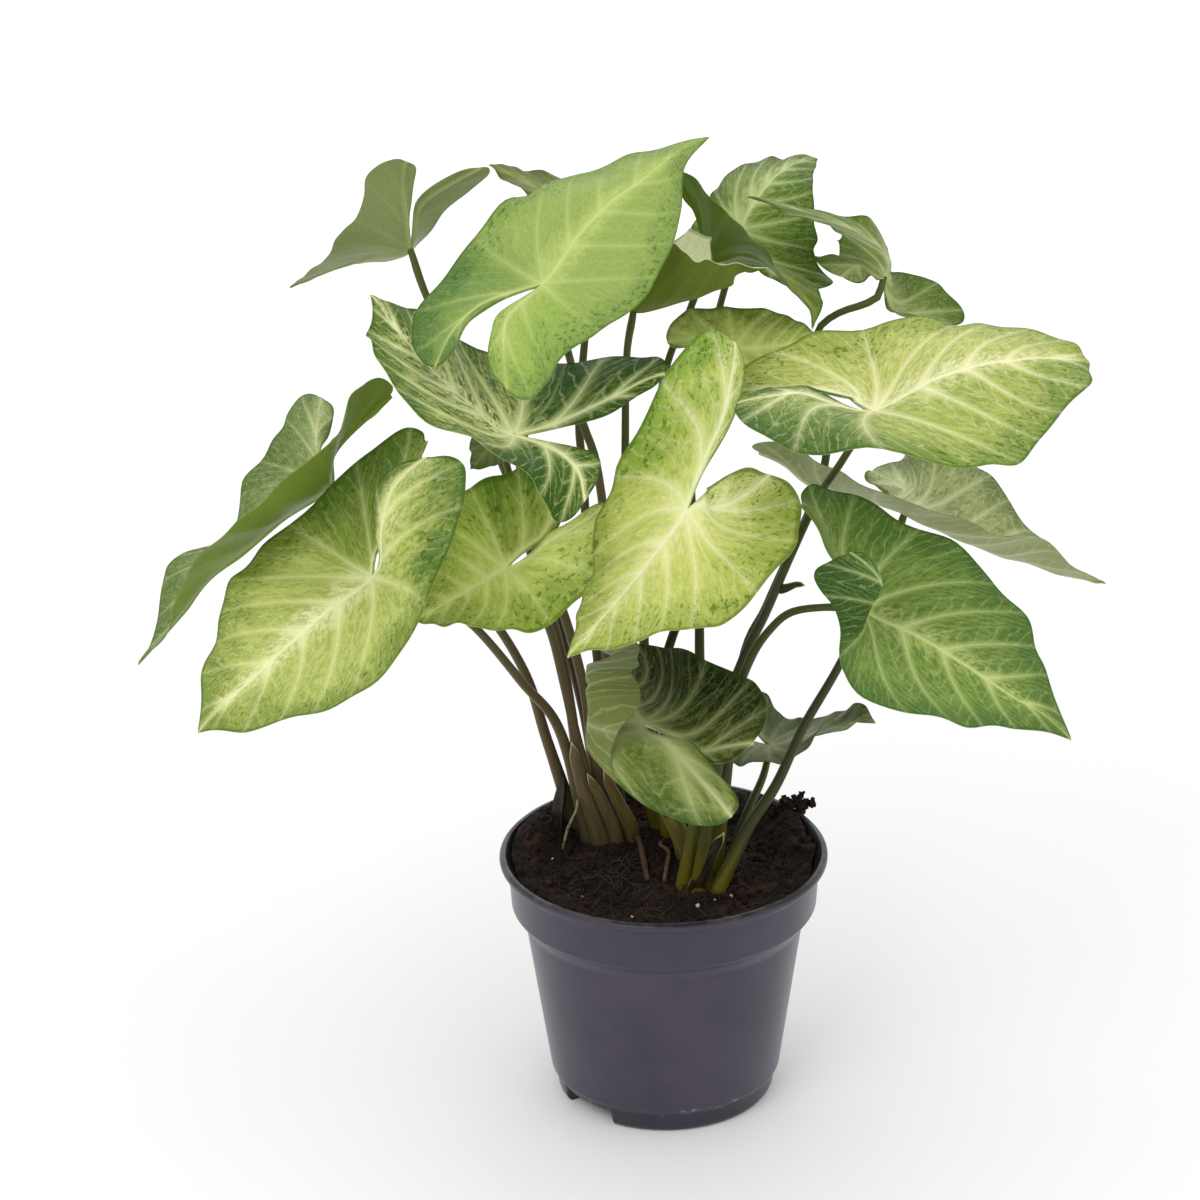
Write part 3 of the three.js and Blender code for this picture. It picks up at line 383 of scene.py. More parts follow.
# %% The leaves behind
LEAVES.update({
    "behind_top_leaf": dict(
        spine=dict(junction=(-8, 14, 299), middle=(14, 12, 304), tip=(38, 12, 314)),
        left=dict(near_tip=(20, 20, 313), edge=(19, 32, 318), shoulder=(10, 44, 317), side=(-1, 43, 315),
                  lobe_tip=(-18, 39, 317)),
        right=dict(near_tip=(28, 6, 317), edge=(17, 0, 320), shoulder=(5, -1, 327), side=(-6, 3, 328),
                   lobe_tip=(-24, 4, 325)),
        stalk=[(-1, 31, 87), (-9, 22, 125), (-12, 17, 150), (-13, 16, 204), (-12, 18, 240),
               (-11, 20, 278)]),
    "back_right_leaf": dict(
        spine=dict(junction=(32, 84, 305), middle=(45, 103, 319), tip=(62, 122, 320)),
        left=dict(edge=(46, 122, 320), shoulder=(26, 109, 317), side=(19, 94, 309),
                  lobe_tip=(14, 78, 295), notch=(29, 79, 298)),
        right=dict(edge=(58, 95, 317), shoulder=(59, 77, 303), side=(60, 74, 294),
                   lobe_tip=(57, 66, 287), notch=(37, 75, 294)),
        stalk=[(9.5, -5, 85), (14, 2, 131), (14, 14, 165), (14, 24, 185), (12, 42, 225),
               (16, 58, 254), (24, 74, 280)]),
    "drooping_leaf": dict(
        spine=dict(junction=(19, 50, 305), middle=(40, 44, 305), tip=(55, 27, 286)),
        left=dict(near_tip=(59, 34, 293), edge=(52, 50, 298), shoulder=(33, 71, 294),
                  side=(24, 70, 299), lobe_tip=(20, 66, 299), notch=(17, 58, 311)),
        right=dict(near_tip=(53, 24, 296), edge=(45, 26, 304), shoulder=(31, 30, 323),
                   side=(18, 45, 331), lobe_tip=(7, 58, 334), notch=(16, 55, 317)),
        stalk=[(5, 36, 87), (-2, 29, 123), (-6, 27, 171), (-4, 28, 223), (-1, 34, 247),
               (4, 38, 271), (12, 44, 288)]),
    "curled_leaf": dict(
        spine=dict(junction=(82, 47, 298), middle=(75, 50, 312), tip=(33, 54, 327)),
        left=dict(edge=(60, 34, 322), shoulder=(64, 26, 317), side=(62, 38, 309),
                  lobe_tip=(62, 45, 301), notch=(76, 46, 300)),
        right=dict(edge=(73, 62, 315), shoulder=(84, 74, 299), waist=(86, 76, 290), side=(97, 72, 290),
                   lobe_end=(107, 66, 285), lobe_tip=(110, 59, 276), notch=(84, 53, 284)),
        stalk=[(18, -5, 85), (28, -5, 168), (38, 8, 188), (47, 21, 203), (56, 31, 220),
               (61, 40, 237), (57, 47, 262), (58, 50, 277), (65, 49, 284), (73, 46, 288),
               (79, 46, 291)]),
    "sheltered_leaf": dict(
        spine=dict(junction=(27, 24, 280), middle=(43, 21, 282), tip=(56, 15, 288)),
        left=dict(edge=(47, 31, 289), shoulder=(31, 40, 290), side=(17, 40, 290),
                  lobe_tip=(3, 36, 281), notch=(16, 28, 280)),
        right=dict(edge=(46, 8, 279), shoulder=(31, 5, 273), side=(19, 9, 271),
                   lobe_tip=(7, 15, 270)),
        stalk=[(3, 22, 87), (-4, 17, 132), (-6, 14, 173), (0, 12, 205), (11, 15, 239),
               (20, 21, 262)]),
})
print("leaves so far:", len(LEAVES))

# %% [markdown]
# ### The leaves in front and to the right
#
# The largest blades reach forward and to the right for the light. The lowest of them, in front of
# the stalks, is folded along its length and shows a strip of its underside.

# %% The leaves in front and to the right
LEAVES.update({
    "right_leaf": dict(
        spine=dict(junction=(71, -43, 281), middle=(109, -40, 296), tip=(146, -28, 291)),
        left=dict(near_tip=(141, -20, 296), edge=(117, -12, 298), shoulder=(83, -1, 298),
                  side=(49, -10, 296), lobe_tip=(20, -26, 278), lobe_inner=(44, -34, 284.5),
                  notch=(62, -42, 285)),
        right=dict(near_tip=(144, -40, 288), edge=(127, -62, 280), shoulder=(96, -80, 274),
                   waist=(68, -79, 282), side=(52, -77, 278), lobe_tip=(23, -65, 290),
                   notch=(48, -50, 292)),
        stalk=[(6.5, -13, 85), (17, -14, 142), (28, -20, 179), (36, -24, 199), (44, -26, 220),
               (54, -22, 241), (61, -31, 257)]),
    "folded_right_leaf": dict(
        spine=dict(junction=(89, 26, 218), middle=(124, 20, 201), tip=(161, 20, 190)),
        left=dict(edge=(131, 48, 207), shoulder=(111, 63, 226), side=(93, 61, 227),
                  lobe_tip=(81, 53, 223), notch=(84, 34, 221)),
        right=dict(edge=(135, -1, 215), shoulder=(95, -9, 230), waist=(74, -6, 238), side=(62, -1, 244),
                   lobe_end=(46, 8, 248), lobe_tip=(33, 16, 246), lobe_inner=(47, 20, 238),
                   notch=(58, 25, 227)),
        stalk=[(18.5, -16, 85), (30, -9, 107), (41, -4, 123), (51, 2, 143), (64, 10, 163),
               (79, 20, 190)]),
    "front_leaf": dict(
        spine=dict(junction=(8, -67, 256), middle=(-12, -76, 232), tip=(-33, -86, 211)),
        left=dict(near_tip=(-21, -95, 217), edge=(-6, -104, 227), shoulder=(23, -96, 229),
                  side=(41, -75, 242), lobe_tip=(42, -46, 257), lobe_inner=(25, -54, 263),
                  notch=(15, -62, 260)),
        right=dict(near_tip=(-30, -71, 216), edge=(-26, -53, 220), shoulder=(-20, -40, 247),
                   side=(-7, -36, 276), lobe_end=(10, -34, 303), lobe_tip=(22, -30, 305),
                   lobe_inner=(28, -32, 292), notch=(22, -50, 278)),
        stalk=[(13, 29, 87), (2, 14, 119), (1, 8, 140), (0, 3, 162), (4, -3, 182), (9, -23, 204),
               (11, -51, 237)]),
    "lower_right_leaf": dict(
        spine=dict(junction=(67, -62, 217), middle=(100, -76, 202), tip=(136, -89, 179)),
        left=dict(near_tip=(130, -74, 194), edge=(123, -59, 207), shoulder=(99, -36, 230),
                  side=(74, -33, 242), lobe_tip=(47, -36, 248), notch=(58, -54, 232)),
        right=dict(near_tip=(118, -95, 187), edge=(98, -102, 192), shoulder=(60, -104, 208),
                   side=(56, -93, 228), lobe_end=(50, -90, 240), lobe_tip=(57, -90, 248),
                   lobe_inner=(67, -92, 248), notch=(71, -80, 234)),
        stalk=[(11.5, -16.5, 85), (19, -22, 138), (25, -27, 167), (31, -31, 186), (37, -36, 198),
               (44, -42, 207), (55, -52, 213)]),
    "low_front_leaf": dict(
        spine=dict(junction=(-7, -44, 167), middle=(-13, -20, 172), tip=(-20, 0, 184)),
        left=dict(near_tip=(-11, -22, 189), edge=(-10, -46, 190), flank=(-9, -58, 188),
                  shoulder=(-9, -64, 183), side=(-16, -79, 160),
                  lobe_end=(1, -88, 152), lobe_tip=(18, -90, 150), lobe_inner=(23, -84, 158),
                  notch=(8, -60, 167), fold_tip=(-24, -18, 187), fold_edge=(-26, -38, 187),
                  fold_middle=(-26.8, -43, 187.2), fold_flank=(-27, -48, 186), fold_shoulder=(-27, -54, 184),
                  fold_side=(-24, -68, 169)),
        right=dict(edge=(-4, 1, 176), shoulder=(9, -16, 182), side=(26, -33, 180),
                   lobe_tip=(34, -54, 169), lobe_inner=(20, -56, 157), notch=(10, -54, 158.5)),
        stalk=[(10, 20, 87), (-3, -6, 122), (-7, -28, 148)], waving=.05),
    "low_right_leaf": dict(
        spine=dict(junction=(40, 24, 126), middle=(58, 20, 132), tip=(78, 13, 139)),
        left=dict(near_tip=(74, 16, 145), edge=(66, 30, 136), shoulder=(51, 40, 128),
                  side=(42, 41, 134), lobe_tip=(32, 39, 139), notch=(34, 29, 130)),
        right=dict(near_tip=(69, 8, 142), edge=(61, 5, 143), shoulder=(45, 4, 128), side=(32, 9, 126),
                   lobe_tip=(23, 16, 126), notch=(32, 23, 128)),
        stalk=[(20.5, -10.5, 85), (30, 2, 107), (37, 15, 117)]),
})
print("leaves:", len(LEAVES))

# %% [markdown]
# ## Leaf colours
#
# A marbled leaf is palest at its heart, around the ribs, and greener toward the border, with veins
# paler than both. The green comes back in streaks that follow the side veins, and in specks near
# the margin. The underside is duller and even, with veins of its own. net, streak, speck and ribs
# say how strong the pale network, the green streaks, the dark specks and the side veins are. Three
# keys give a part of the leaf its own heart, field and border: halves for a half, lobes for a lobe,
# and the last for the strip of a lobe between its rib and the notch. The dark colours of that strip
# are painted shade, for the crease where a lobe curls or overlaps, and so are those of the lower
# right leaf's rolled-under right lobe.

# %% Leaf colours
PAINT = {
    "top_leaf": dict(heart="b7c76f", field="97ad5a", border="7c964c", vein="c7d388", under="8ba054",
                     net=.06, streak=.3, speck=1.0, ribs=.4,
                     lobes=dict(left=("92a859", "78944c", "55763c"), right=("aabe62", "9ab457", "7d9a4a"))),
    "upper_left_leaf": dict(heart="7f9448", field="74893f", border="6b8038", vein="97a563", under="828e5b",
                            net=.1, streak=.2, speck=.3, ribs=.6),
    "tucked_leaf": dict(heart="868f49", field="737f41", border="5f6b3c", vein="9da761", under="82944a",
                        net=.1, streak=.2, speck=.3, ribs=.5),
    "cream_leaf": dict(heart="f5f8b6", field="bac571", border="4f6e25", vein="f9fdbe", under="8d9a63",
                       net=.1, streak=1.0, speck=.8, ribs=.9,
                       lobes=dict(left=("70883b", "4b6e25", "355b20"),
                                  right=("6c8537", "466929", "31541e"))),
    "left_leaf": dict(heart="e2e4a5", field="b4be66", border="798d3c", vein="e8eab3", under="8ba054",
                      net=.08, streak=.5, speck=1.0, ribs=.5,
                      lobes=dict(left=("d2d88d", "afba5e", "4d6d2a"), right=("a3b254", "809438", "597528")),
                      # Painted shade: the left lobe's notch strip, in the crease where the lobes overlap.
                      notch_shade=dict(left=("8a9c48", "5a7830", "2f4d1a"))),
    "folded_left_leaf": dict(heart="b6bf85", field="83925a", border="5a7337", vein="ccd097", under="758b3c",
                             net=.2, streak=.6, speck=.8, ribs=.7),
    "middle_left_leaf": dict(heart="dde882", field="bbcb5d", border="92a943", vein="eef5a9", under="7a8c3c",
                             net=.08, streak=.4, speck=1.0, ribs=.6,
                             lobes=dict(right=("b4c35a", "899f3c", "5e7e24"))),
    "young_leaf": dict(heart="6c7d2e", field="627427", border="5a6c1e", vein="8b9a48", under="56671b",
                       net=.1, streak=.2, speck=.2, ribs=.5),
    "behind_top_leaf": dict(heart="f4f5d4", field="edefc8", border="e2e5b6", vein="f8f8dc", under="66752e",
                            net=.1, streak=.2, speck=.2, ribs=.4),
    "back_right_leaf": dict(heart="b1bd7a", field="7d904c", border="51672c", vein="c2ce8f", under="6d7c40",
                            net=.2, streak=.5, speck=.8, ribs=.8,
                            halves=dict(right=("7b943f", "5d7923", "425d17"))),
    "drooping_leaf": dict(heart="94a150", field="7a913e", border="61782e", vein="b4bb70", under="556d1b",
                          net=.2, streak=.4, speck=.5, ribs=.6),
    "curled_leaf": dict(heart="9ea971", field="6e813e", border="4f6725", vein="b6c182", under="6a7c3a",
                        net=.2, streak=.5, speck=.8, ribs=.8),
    "sheltered_leaf": dict(heart="b8c361", field="939e4a", border="718533", vein="cdd78b", under="6d7c36",
                           net=.3, streak=.5, speck=.6, ribs=.8),
    "right_leaf": dict(heart="e4e4aa", field="c1c771", border="8d9e40", vein="f3f1c3", under="8ba054",
                       net=.1, streak=.6, speck=1.0, ribs=.7,
                       halves=dict(right=("d6da92", "aab65d", "748d3c")),
                       lobes=dict(right=("abb96f", "7e934a", "48682b")),
                       # Painted shade: both notch strips, where the inner margins of the lobes curl.
                       notch_shade=dict(left=("7b9444", "56752f", "3f5d24"),
                                       right=("617d34", "4b6a2b", "37531f"))),
    "folded_right_leaf": dict(heart="cfd69e", field="a0a96e", border="6b7c40", vein="d3d8ac",
                              under="919b66", under_vein="d4d8b4",
                              net=.3, streak=.7, speck=.6, ribs=.9),
    "front_leaf": dict(heart="dde091", field="c3ca6a", border="99a949", vein="ebedb9", under="9aa858",
                       net=.08, streak=.4, speck=1.0, ribs=.6,
                       lobes=dict(right=("c9d179", "b1bd59", "789938"))),
    "lower_right_leaf": dict(heart="a9b868", field="748c42", border="4d6c31", vein="cad590", under="71873e",
                             net=.1, streak=.7, speck=.4, ribs=.7,
                             halves=dict(right=("a4b560", "7b9442", "4f6f31")),
                             # Painted shade: the right lobe, rolled under, and its notch strip take dark
                             # colours.
                             lobes=dict(right=("4f7030", "3f5f28", "2f4c1e")),
                             notch_shade=dict(right=("4f6d31", "415f2a", "304c1f"))),
    "low_front_leaf": dict(heart="8a974e", field="5d742a", border="3f5a1b", vein="bdc28b",
                           under="6e7842", under_vein="c6cea3",
                           net=.24, streak=.6, speck=.4, ribs=.75,
                           halves=dict(right=("576324", "3c4714", "26310b"))),
    "low_right_leaf": dict(heart="848b66", field="6b7450", border="56603a", vein="a4ab8c", under="626e42",
                           net=.2, streak=.4, speck=.3, ribs=.6),
}
print("leaves with a part of its own colour:",
      sum(bool({"halves", "lobes", "notch_shade"} & set(paint)) for paint in PAINT.values()))

# %% [markdown]
# ## Wiring a material
#
# Colours are written as they look on a screen, in sRGB hex, and one function turns them into the
# linear values that the renderer works in. Another adds one node, sets it up and wires its inputs;
# every material here is made with it. USUAL says, for a few kinds of node, which inputs it is given,
# in what order, and what is always set on it. A fade is a Map Range node, and its four numbers read:
# full at, gone at, how strong it is where it is full, and 0.

# %% Colours and nodes
USUAL = {
    "Mix": dict(inputs=(0, 6, 7), out=2, data_type="RGBA"),
    "MapRange": dict(interpolation_type="SMOOTHSTEP"),
    "TexNoise": dict(inputs=("Vector", "Scale", "Detail", "Roughness")),
    "Bump": dict(inputs=("Height", "Strength", "Distance")),
}


def linear(hex_colour):
    """The linear red, green, blue and alpha of an sRGB hex colour."""
    channels = [int(hex_colour[i:i + 2], 16) / 255 for i in (0, 2, 4)]
    return [c / 12.92 if c <= 0.04045 else ((c + 0.055) / 1.055) ** 2.4 for c in channels] + [1.0]


def add(tree, kind, *values, **settings):
    """Adds a node and gives back one output. Each input gets a number, a colour or a link."""
    settings = {**USUAL.get(kind, {}), **settings}
    places = settings.pop("inputs", range(len(values)))
    out = settings.pop("out", 0)
    node = tree.nodes.new("ShaderNode" + kind)
    for name, value in settings.items():
        setattr(node, name, value)
    for place, value in zip(places, values):
        if isinstance(value, bpy.types.NodeSocket):
            tree.links.new(value, node.inputs[place])
        else:
            node.inputs[place].default_value = value
    return node.outputs[out]


def new_material(name, **sockets):
    """A material with one Principled shader and its sockets set; returns it, its tree, the shader."""
    material = bpy.data.materials.new(name)
    material.use_nodes = True
    shader = material.node_tree.nodes["Principled BSDF"]
    for socket, value in sockets.items():
        shader.inputs[socket.replace("_", " ")].default_value = value
    return material, material.node_tree, shader


print("kinds of node with usual settings:", len(USUAL))

# %% [markdown]
# ## Material: waxy leaf blade
#
# A living leaf is a film of green tissue under a thin wax. The wax gives it a soft, broad
# highlight, with an IOR near 1.45 and a roughness near 0.4. The pigment is painted in layers, from
# the field up to the ribs. Every point of a blade knows its distances from the margin, the ribs and
# the veins in millimetres, so every width below is a real one.

# %% What a point of a blade knows
WAX_SHINE = 0.006
FINE_GRAIN = (0.9, 4.0, 0.6)
CLOUD_GRAIN = (0.10, 4.0, 0.6)
RAGGEDNESS = 1.2
BLADE_FACTS = {
    "Vector": ("flat_mm", "vein_mm", "amounts"),
    "Fac": ("edge_mm", "rib_mm", "line_mm", "half_mm", "along_mm", "reach", "ribbing"),
    "Color": ("field", "border", "heart", "vein"),
}


def pigment(hex_colour):
    """The tissue's own colour: the colour the eye sees, less the white shine of the wax."""
    return [max(0.002, channel - WAX_SHINE) for channel in linear(hex_colour)[:3]] + [1.0]


def blade_facts(tree):
    """What is stored on a blade, as outputs, with a cloud and a ragged edge in millimetres."""
    at = SimpleNamespace()
    for out, keys in BLADE_FACTS.items():
        for key in keys:
            setattr(at, key, add(tree, "Attribute", attribute_name=key, out=out))
    at.net, at.streak, at.speck = [add(tree, "SeparateXYZ", at.amounts, out=axis) for axis in "XYZ"]
    at.fine = add(tree, "TexNoise", at.flat_mm, *FINE_GRAIN)
    fine_swing = add(tree, "Math", at.fine, 0.5, operation="SUBTRACT")
    at.ragged = add(tree, "Math", fine_swing, RAGGEDNESS, operation="MULTIPLY")
    cloud = add(tree, "TexNoise", at.flat_mm, *CLOUD_GRAIN)
    at.cloud = add(tree, "Math", cloud, 0.5, operation="SUBTRACT")
    return at


print("facts of a blade:", sum(len(keys) for keys in BLADE_FACTS.values()))

# %% [markdown]
# ### Field, border and heart
#
# The field fades to the border at a cloudy distance from the margin, and the pale heart lies around
# the ribs. One slow noise, with lumps a centimetre across, moves both.

# %% Marbled ground
EDGE_CLOUD = 30.0
RIB_CLOUD = -16.0
BORDER_FADE = (-1.0, 15.0, 1.0, 0.0)
HEART_FADE = (0.5, 12.0, 0.9, 0.0)


def marbled_ground(tree, at):
    wide = add(tree, "Math", at.cloud, EDGE_CLOUD, operation="MULTIPLY")
    at.cloudy_edge = add(tree, "Math", at.edge_mm, wide, operation="ADD")
    border_share = add(tree, "MapRange", at.cloudy_edge, *BORDER_FADE)
    colour = add(tree, "Mix", border_share, at.field, at.border)
    narrow = add(tree, "Math", at.cloud, RIB_CLOUD, operation="MULTIPLY")
    cloudy_rib = add(tree, "Math", at.rib_mm, narrow, operation="ADD")
    return add(tree, "Mix", add(tree, "MapRange", cloudy_rib, *HEART_FADE), colour, at.heart)


print("border gone", BORDER_FADE[1], "mm from the margin, heart gone", HEART_FADE[1], "mm from the ribs")

# %% [markdown]
# ### Green streaks
#
# Deeper green keeps to the middle between the side veins and runs along them. The noise is laid out
# along the veins, so that its lumps, about two millimetres long, line up with them.

# %% Green streaks
STREAK_GRAIN = (0.55, 5.0, 0.7)
STREAK_FADE = (0.42, 0.56, 1.0, 0.0)
BETWEEN_VEINS_FADE = (4.2, 0.6, 1.0, 0.0)


def green_streaks(tree, at, colour):
    grain = add(tree, "TexNoise", at.vein_mm, *STREAK_GRAIN)
    between = add(tree, "MapRange", at.line_mm, *BETWEEN_VEINS_FADE)
    allowed = add(tree, "Math", at.streak, between, operation="MULTIPLY")
    streaks = add(tree, "Math", add(tree, "MapRange", grain, *STREAK_FADE), allowed, operation="MULTIPLY")
    return add(tree, "Mix", streaks, colour, at.border)


print("streaks start", BETWEEN_VEINS_FADE[1], "mm from a side vein")

# %% [markdown]
# ### The pale network
#
# The level line of a noise is as thin and wandering as the finest veins are. Two noises give threads
# both ways, and veinlets leave the side veins every five millimetres and run forward. Real threads
# are a tenth of a millimetre wide; these are drawn two or three times as coarse, so that they show.

# %% Threads and veinlets
THREAD_NOISES = [("flat_mm", (0.30, 3.0, 0.55), (0.004, 0.03, 0.5, 0.0)),
                 ("vein_mm", (0.35, 3.0, 0.6), (0.004, 0.03, 0.6, 0.0))]
VEINLET_SPACING = 5.0
VEINLET_WOBBLE = 7.0
VEINLET_GRAIN = (0.2, 3.0, 0.6)
VEINLET_FADE = (0.02, 0.13, 1.0, 0.0)
VEINLET_STRENGTH = 0.28


def pale_threads(tree, at, colour):
    threads = []
    for laid_on, grain, fade in THREAD_NOISES:
        lumps = add(tree, "TexNoise", getattr(at, laid_on), *grain)
        level = add(tree, "Math", lumps, 0.5, operation="SUBTRACT")
        threads.append(add(tree, "MapRange", add(tree, "Math", level, operation="ABSOLUTE"), *fade))
    both = add(tree, "Math", *threads, operation="MAXIMUM")
    return add(tree, "Mix", add(tree, "Math", both, at.net, operation="MULTIPLY"), colour, at.vein)


def veinlets(tree, at, colour):
    wobble = add(tree, "TexNoise", at.flat_mm, *VEINLET_GRAIN)
    wobble = add(tree, "Math", wobble, VEINLET_WOBBLE, operation="MULTIPLY")
    forward = add(tree, "Math", at.along_mm, at.line_mm, operation="SUBTRACT")
    forward = add(tree, "Math", forward, wobble, operation="ADD")
    phase = add(tree, "Math", forward, VEINLET_SPACING, operation="DIVIDE")
    phase = add(tree, "Math", phase, operation="FRACT")
    off_line = add(tree, "Math", phase, 0.5, operation="SUBTRACT")
    off_line = add(tree, "Math", off_line, operation="ABSOLUTE")
    strength = add(tree, "Math", at.ribbing, VEINLET_STRENGTH, operation="MULTIPLY")
    shown = add(tree, "Math", add(tree, "MapRange", off_line, *VEINLET_FADE), strength, operation="MULTIPLY")
    return add(tree, "Mix", shown, colour, at.vein)


print("thread noises:", len(THREAD_NOISES), "and veinlets every", VEINLET_SPACING, "mm")

# %% [markdown]
# ### Specks and the margin
#
# Dark specks, up to a millimetre long, gather toward the border, and a thin dark line runs along the
# very edge of the blade, where it is thickest.

# %% Specks and margin
SPECK_GRAIN = (0.8, 4.0, 0.7)
SPECK_FADE = (0.40, 0.45, 1.0, 0.0)
SPECKED_EDGE_FADE = (3.0, 17.0, 1.0, 0.0)
MARGIN_FADE = (0.4, 1.2, 0.8, 0.0)
SPECK_GREEN, SPECK_SHARE = "3c5a1c", 0.6


def specks_and_margin(tree, at, colour):
    dark = add(tree, "Mix", SPECK_SHARE, at.border, pigment(SPECK_GREEN))
    specks = add(tree, "MapRange", add(tree, "TexNoise", at.vein_mm, *SPECK_GRAIN), *SPECK_FADE)
    specks = add(tree, "Math", specks, at.speck, operation="MULTIPLY")
    near_edge = add(tree, "MapRange", at.cloudy_edge, *SPECKED_EDGE_FADE)
    specks = add(tree, "Math", specks, near_edge, operation="MULTIPLY")
    colour = add(tree, "Mix", specks, colour, dark)
    return add(tree, "Mix", add(tree, "MapRange", at.edge_mm, *MARGIN_FADE), colour, dark)


print("dark margin:", MARGIN_FADE[1], "mm wide")

# %% [markdown]
# ### Side veins and ribs
#
# Each vein is a fine line in a soft, ragged, pale band. Side veins thin out as they run to the
# margin, and weaker ones lie halfway between them; the ribs keep their strength.

# %% Veins and ribs
# Each mark: the distance it is drawn by, whether it is ragged, its fade, whether it thins out.
VEIN_MARKS = [
    ("line_mm", True, (0.2, 3.2, 0.6, 0.0), True),
    ("line_mm", False, (0.1, 0.8, 0.75, 0.0), True),
    ("half_mm", True, (0.0, 1.0, 0.3, 0.0), True),
    ("rib_mm", True, (0.2, 2.6, 0.5, 0.0), False),
    ("rib_mm", False, (0.25, 0.9, 0.85, 0.0), False),
]
THINNING = 0.75


def veins_and_ribs(tree, at, colour):
    thinned = add(tree, "Math", at.reach, THINNING, operation="MULTIPLY")
    thinned = add(tree, "Math", 1.0, thinned, operation="SUBTRACT")
    thinned = add(tree, "Math", thinned, at.ribbing, operation="MULTIPLY")
    for measured_by, ragged, fade, thins in VEIN_MARKS:
        distance = getattr(at, measured_by)
        if ragged:
            distance = add(tree, "Math", distance, at.ragged, operation="ADD")
        mark = add(tree, "MapRange", distance, *fade)
        if thins:
            mark = add(tree, "Math", mark, thinned, operation="MULTIPLY")
        colour = add(tree, "Mix", mark, colour, at.vein)
    return colour


print("marks of a vein or rib:", len(VEIN_MARKS))

# %% [markdown]
# ### The finished skin
#
# A fine grain makes the tissue a little lighter and darker, and dimples the wax. There are three
# skins, which differ only in how rough the wax is: the dark, low leaves are the dullest by a touch.

# %% Waxy leaf blade
TISSUE_SWING = 0.32
TISSUE_LEAST = 0.84
DIMPLES = (0.3, 0.0005)


def blade_skin(name, roughness):
    material, tree, shader = new_material(name, Roughness=roughness, IOR=1.45, Specular_IOR_Level=0.15)
    at = blade_facts(tree)
    colour = marbled_ground(tree, at)
    for layer in (green_streaks, pale_threads, veinlets, specks_and_margin, veins_and_ribs):
        colour = layer(tree, at, colour)
    swing = add(tree, "Math", at.fine, TISSUE_SWING, operation="MULTIPLY")
    value = add(tree, "Math", TISSUE_LEAST, swing, operation="ADD")
    tone = add(tree, "HueSaturation", colour, value, inputs=("Color", "Value"))
    tree.links.new(tone, shader.inputs["Base Color"])
    tree.links.new(add(tree, "Bump", at.fine, *DIMPLES), shader.inputs["Normal"])
    return material


BLADE_SKINS = {
    "pale_blade": blade_skin("waxy yellow-green blade", 0.45),
    "green_blade": blade_skin("waxy marbled green blade", 0.43),
    "dark_blade": blade_skin("waxy dark green blade", 0.48),
}
print("blade skins:", len(BLADE_SKINS))

# %% [markdown]
# ## Pieces
#
# Every piece is a mesh made from points in millimetres. It rides on the plant's one body, may stand
# for a solid of the frame, and names the finish that it takes. What its material needs to know is
# stored on its points.

# %% Make a piece
def make_piece(name, points, faces, material, replaces=()):
    """A mesh object from points in millimetres, riding on the plant's one body."""
    mesh = bpy.data.meshes.new(name)
    mesh.from_pydata((np.asarray(points, float) * MM).tolist(), [], [list(map(int, f)) for f in faces])
    mesh.validate()
    piece = bpy.data.objects.new(name, mesh)
    bpy.context.scene.collection.objects.link(piece)
    mesh.materials.append(material)
    mesh.shade_smooth()
    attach(piece, "root")
    if replaces:
        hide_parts(*replaces)
    return piece


def store(piece, name, values):
    """Keeps one value for each point of a piece: a number, a vector or a colour."""
    values = np.asarray(values, np.float32)
    kind, key = ("FLOAT", "value")
    if values.ndim == 2:
        kind, key = ("FLOAT_VECTOR", "vector") if values.shape[1] == 3 else ("FLOAT_COLOR", "color")
    attribute = piece.data.attributes.new(name, kind, "POINT")
    attribute.data.foreach_set(key, values.ravel())


SLOTS = {entry["node"]: entry["material_slot"] for entry in frame["record"]["subparts"]}
print("finishes:", len(set(SLOTS.values())))

# %% [markdown]
# ## Growing the blades
#
# A blade is a closed shell a third of a millimetre thick. Between its side veins it bulges a little,
# the midrib lies in a groove above and stands out as a keel below. The margin waves up and down and
# ripples in and out, as much as the leaf's own waving allows. Some parts of some leaves are greener
# than the rest: a half or a lobe. Others are darkened with painted shade: the strip inside the lobe
# ribs that faces the notch, for the crease there, and the rolled-under right lobe of the lower right
# leaf.

# %% Normals, regions and waves
HALF_SHARPNESS = 30
LOBE_START, LOBE_FADE = 0.08, 0.14
NOTCH_SHADE_GROWTH, NOTCH_SHADE_START = 3, 0.9
WAVE_START, WAVE_GROWTH = 0.02, 0.2
WAVE_FALL = 0.8


def normals_of(points, faces):
    """Unit normals at the points of a mesh of triangles and quads."""
    normal = np.zeros_like(points)
    for count in (3, 4):
        chosen = np.array([face for face in faces if len(face) == count])
        corners = points[chosen]
        first = corners[:, 2] - corners[:, 0]
        second = corners[:, 3] - corners[:, 1] if count == 4 else corners[:, 2] - corners[:, 1]
        for corner in range(count):
            np.add.at(normal, chosen[:, corner], np.cross(first, second))
    return normal / np.linalg.norm(normal, axis=1)[:, None]


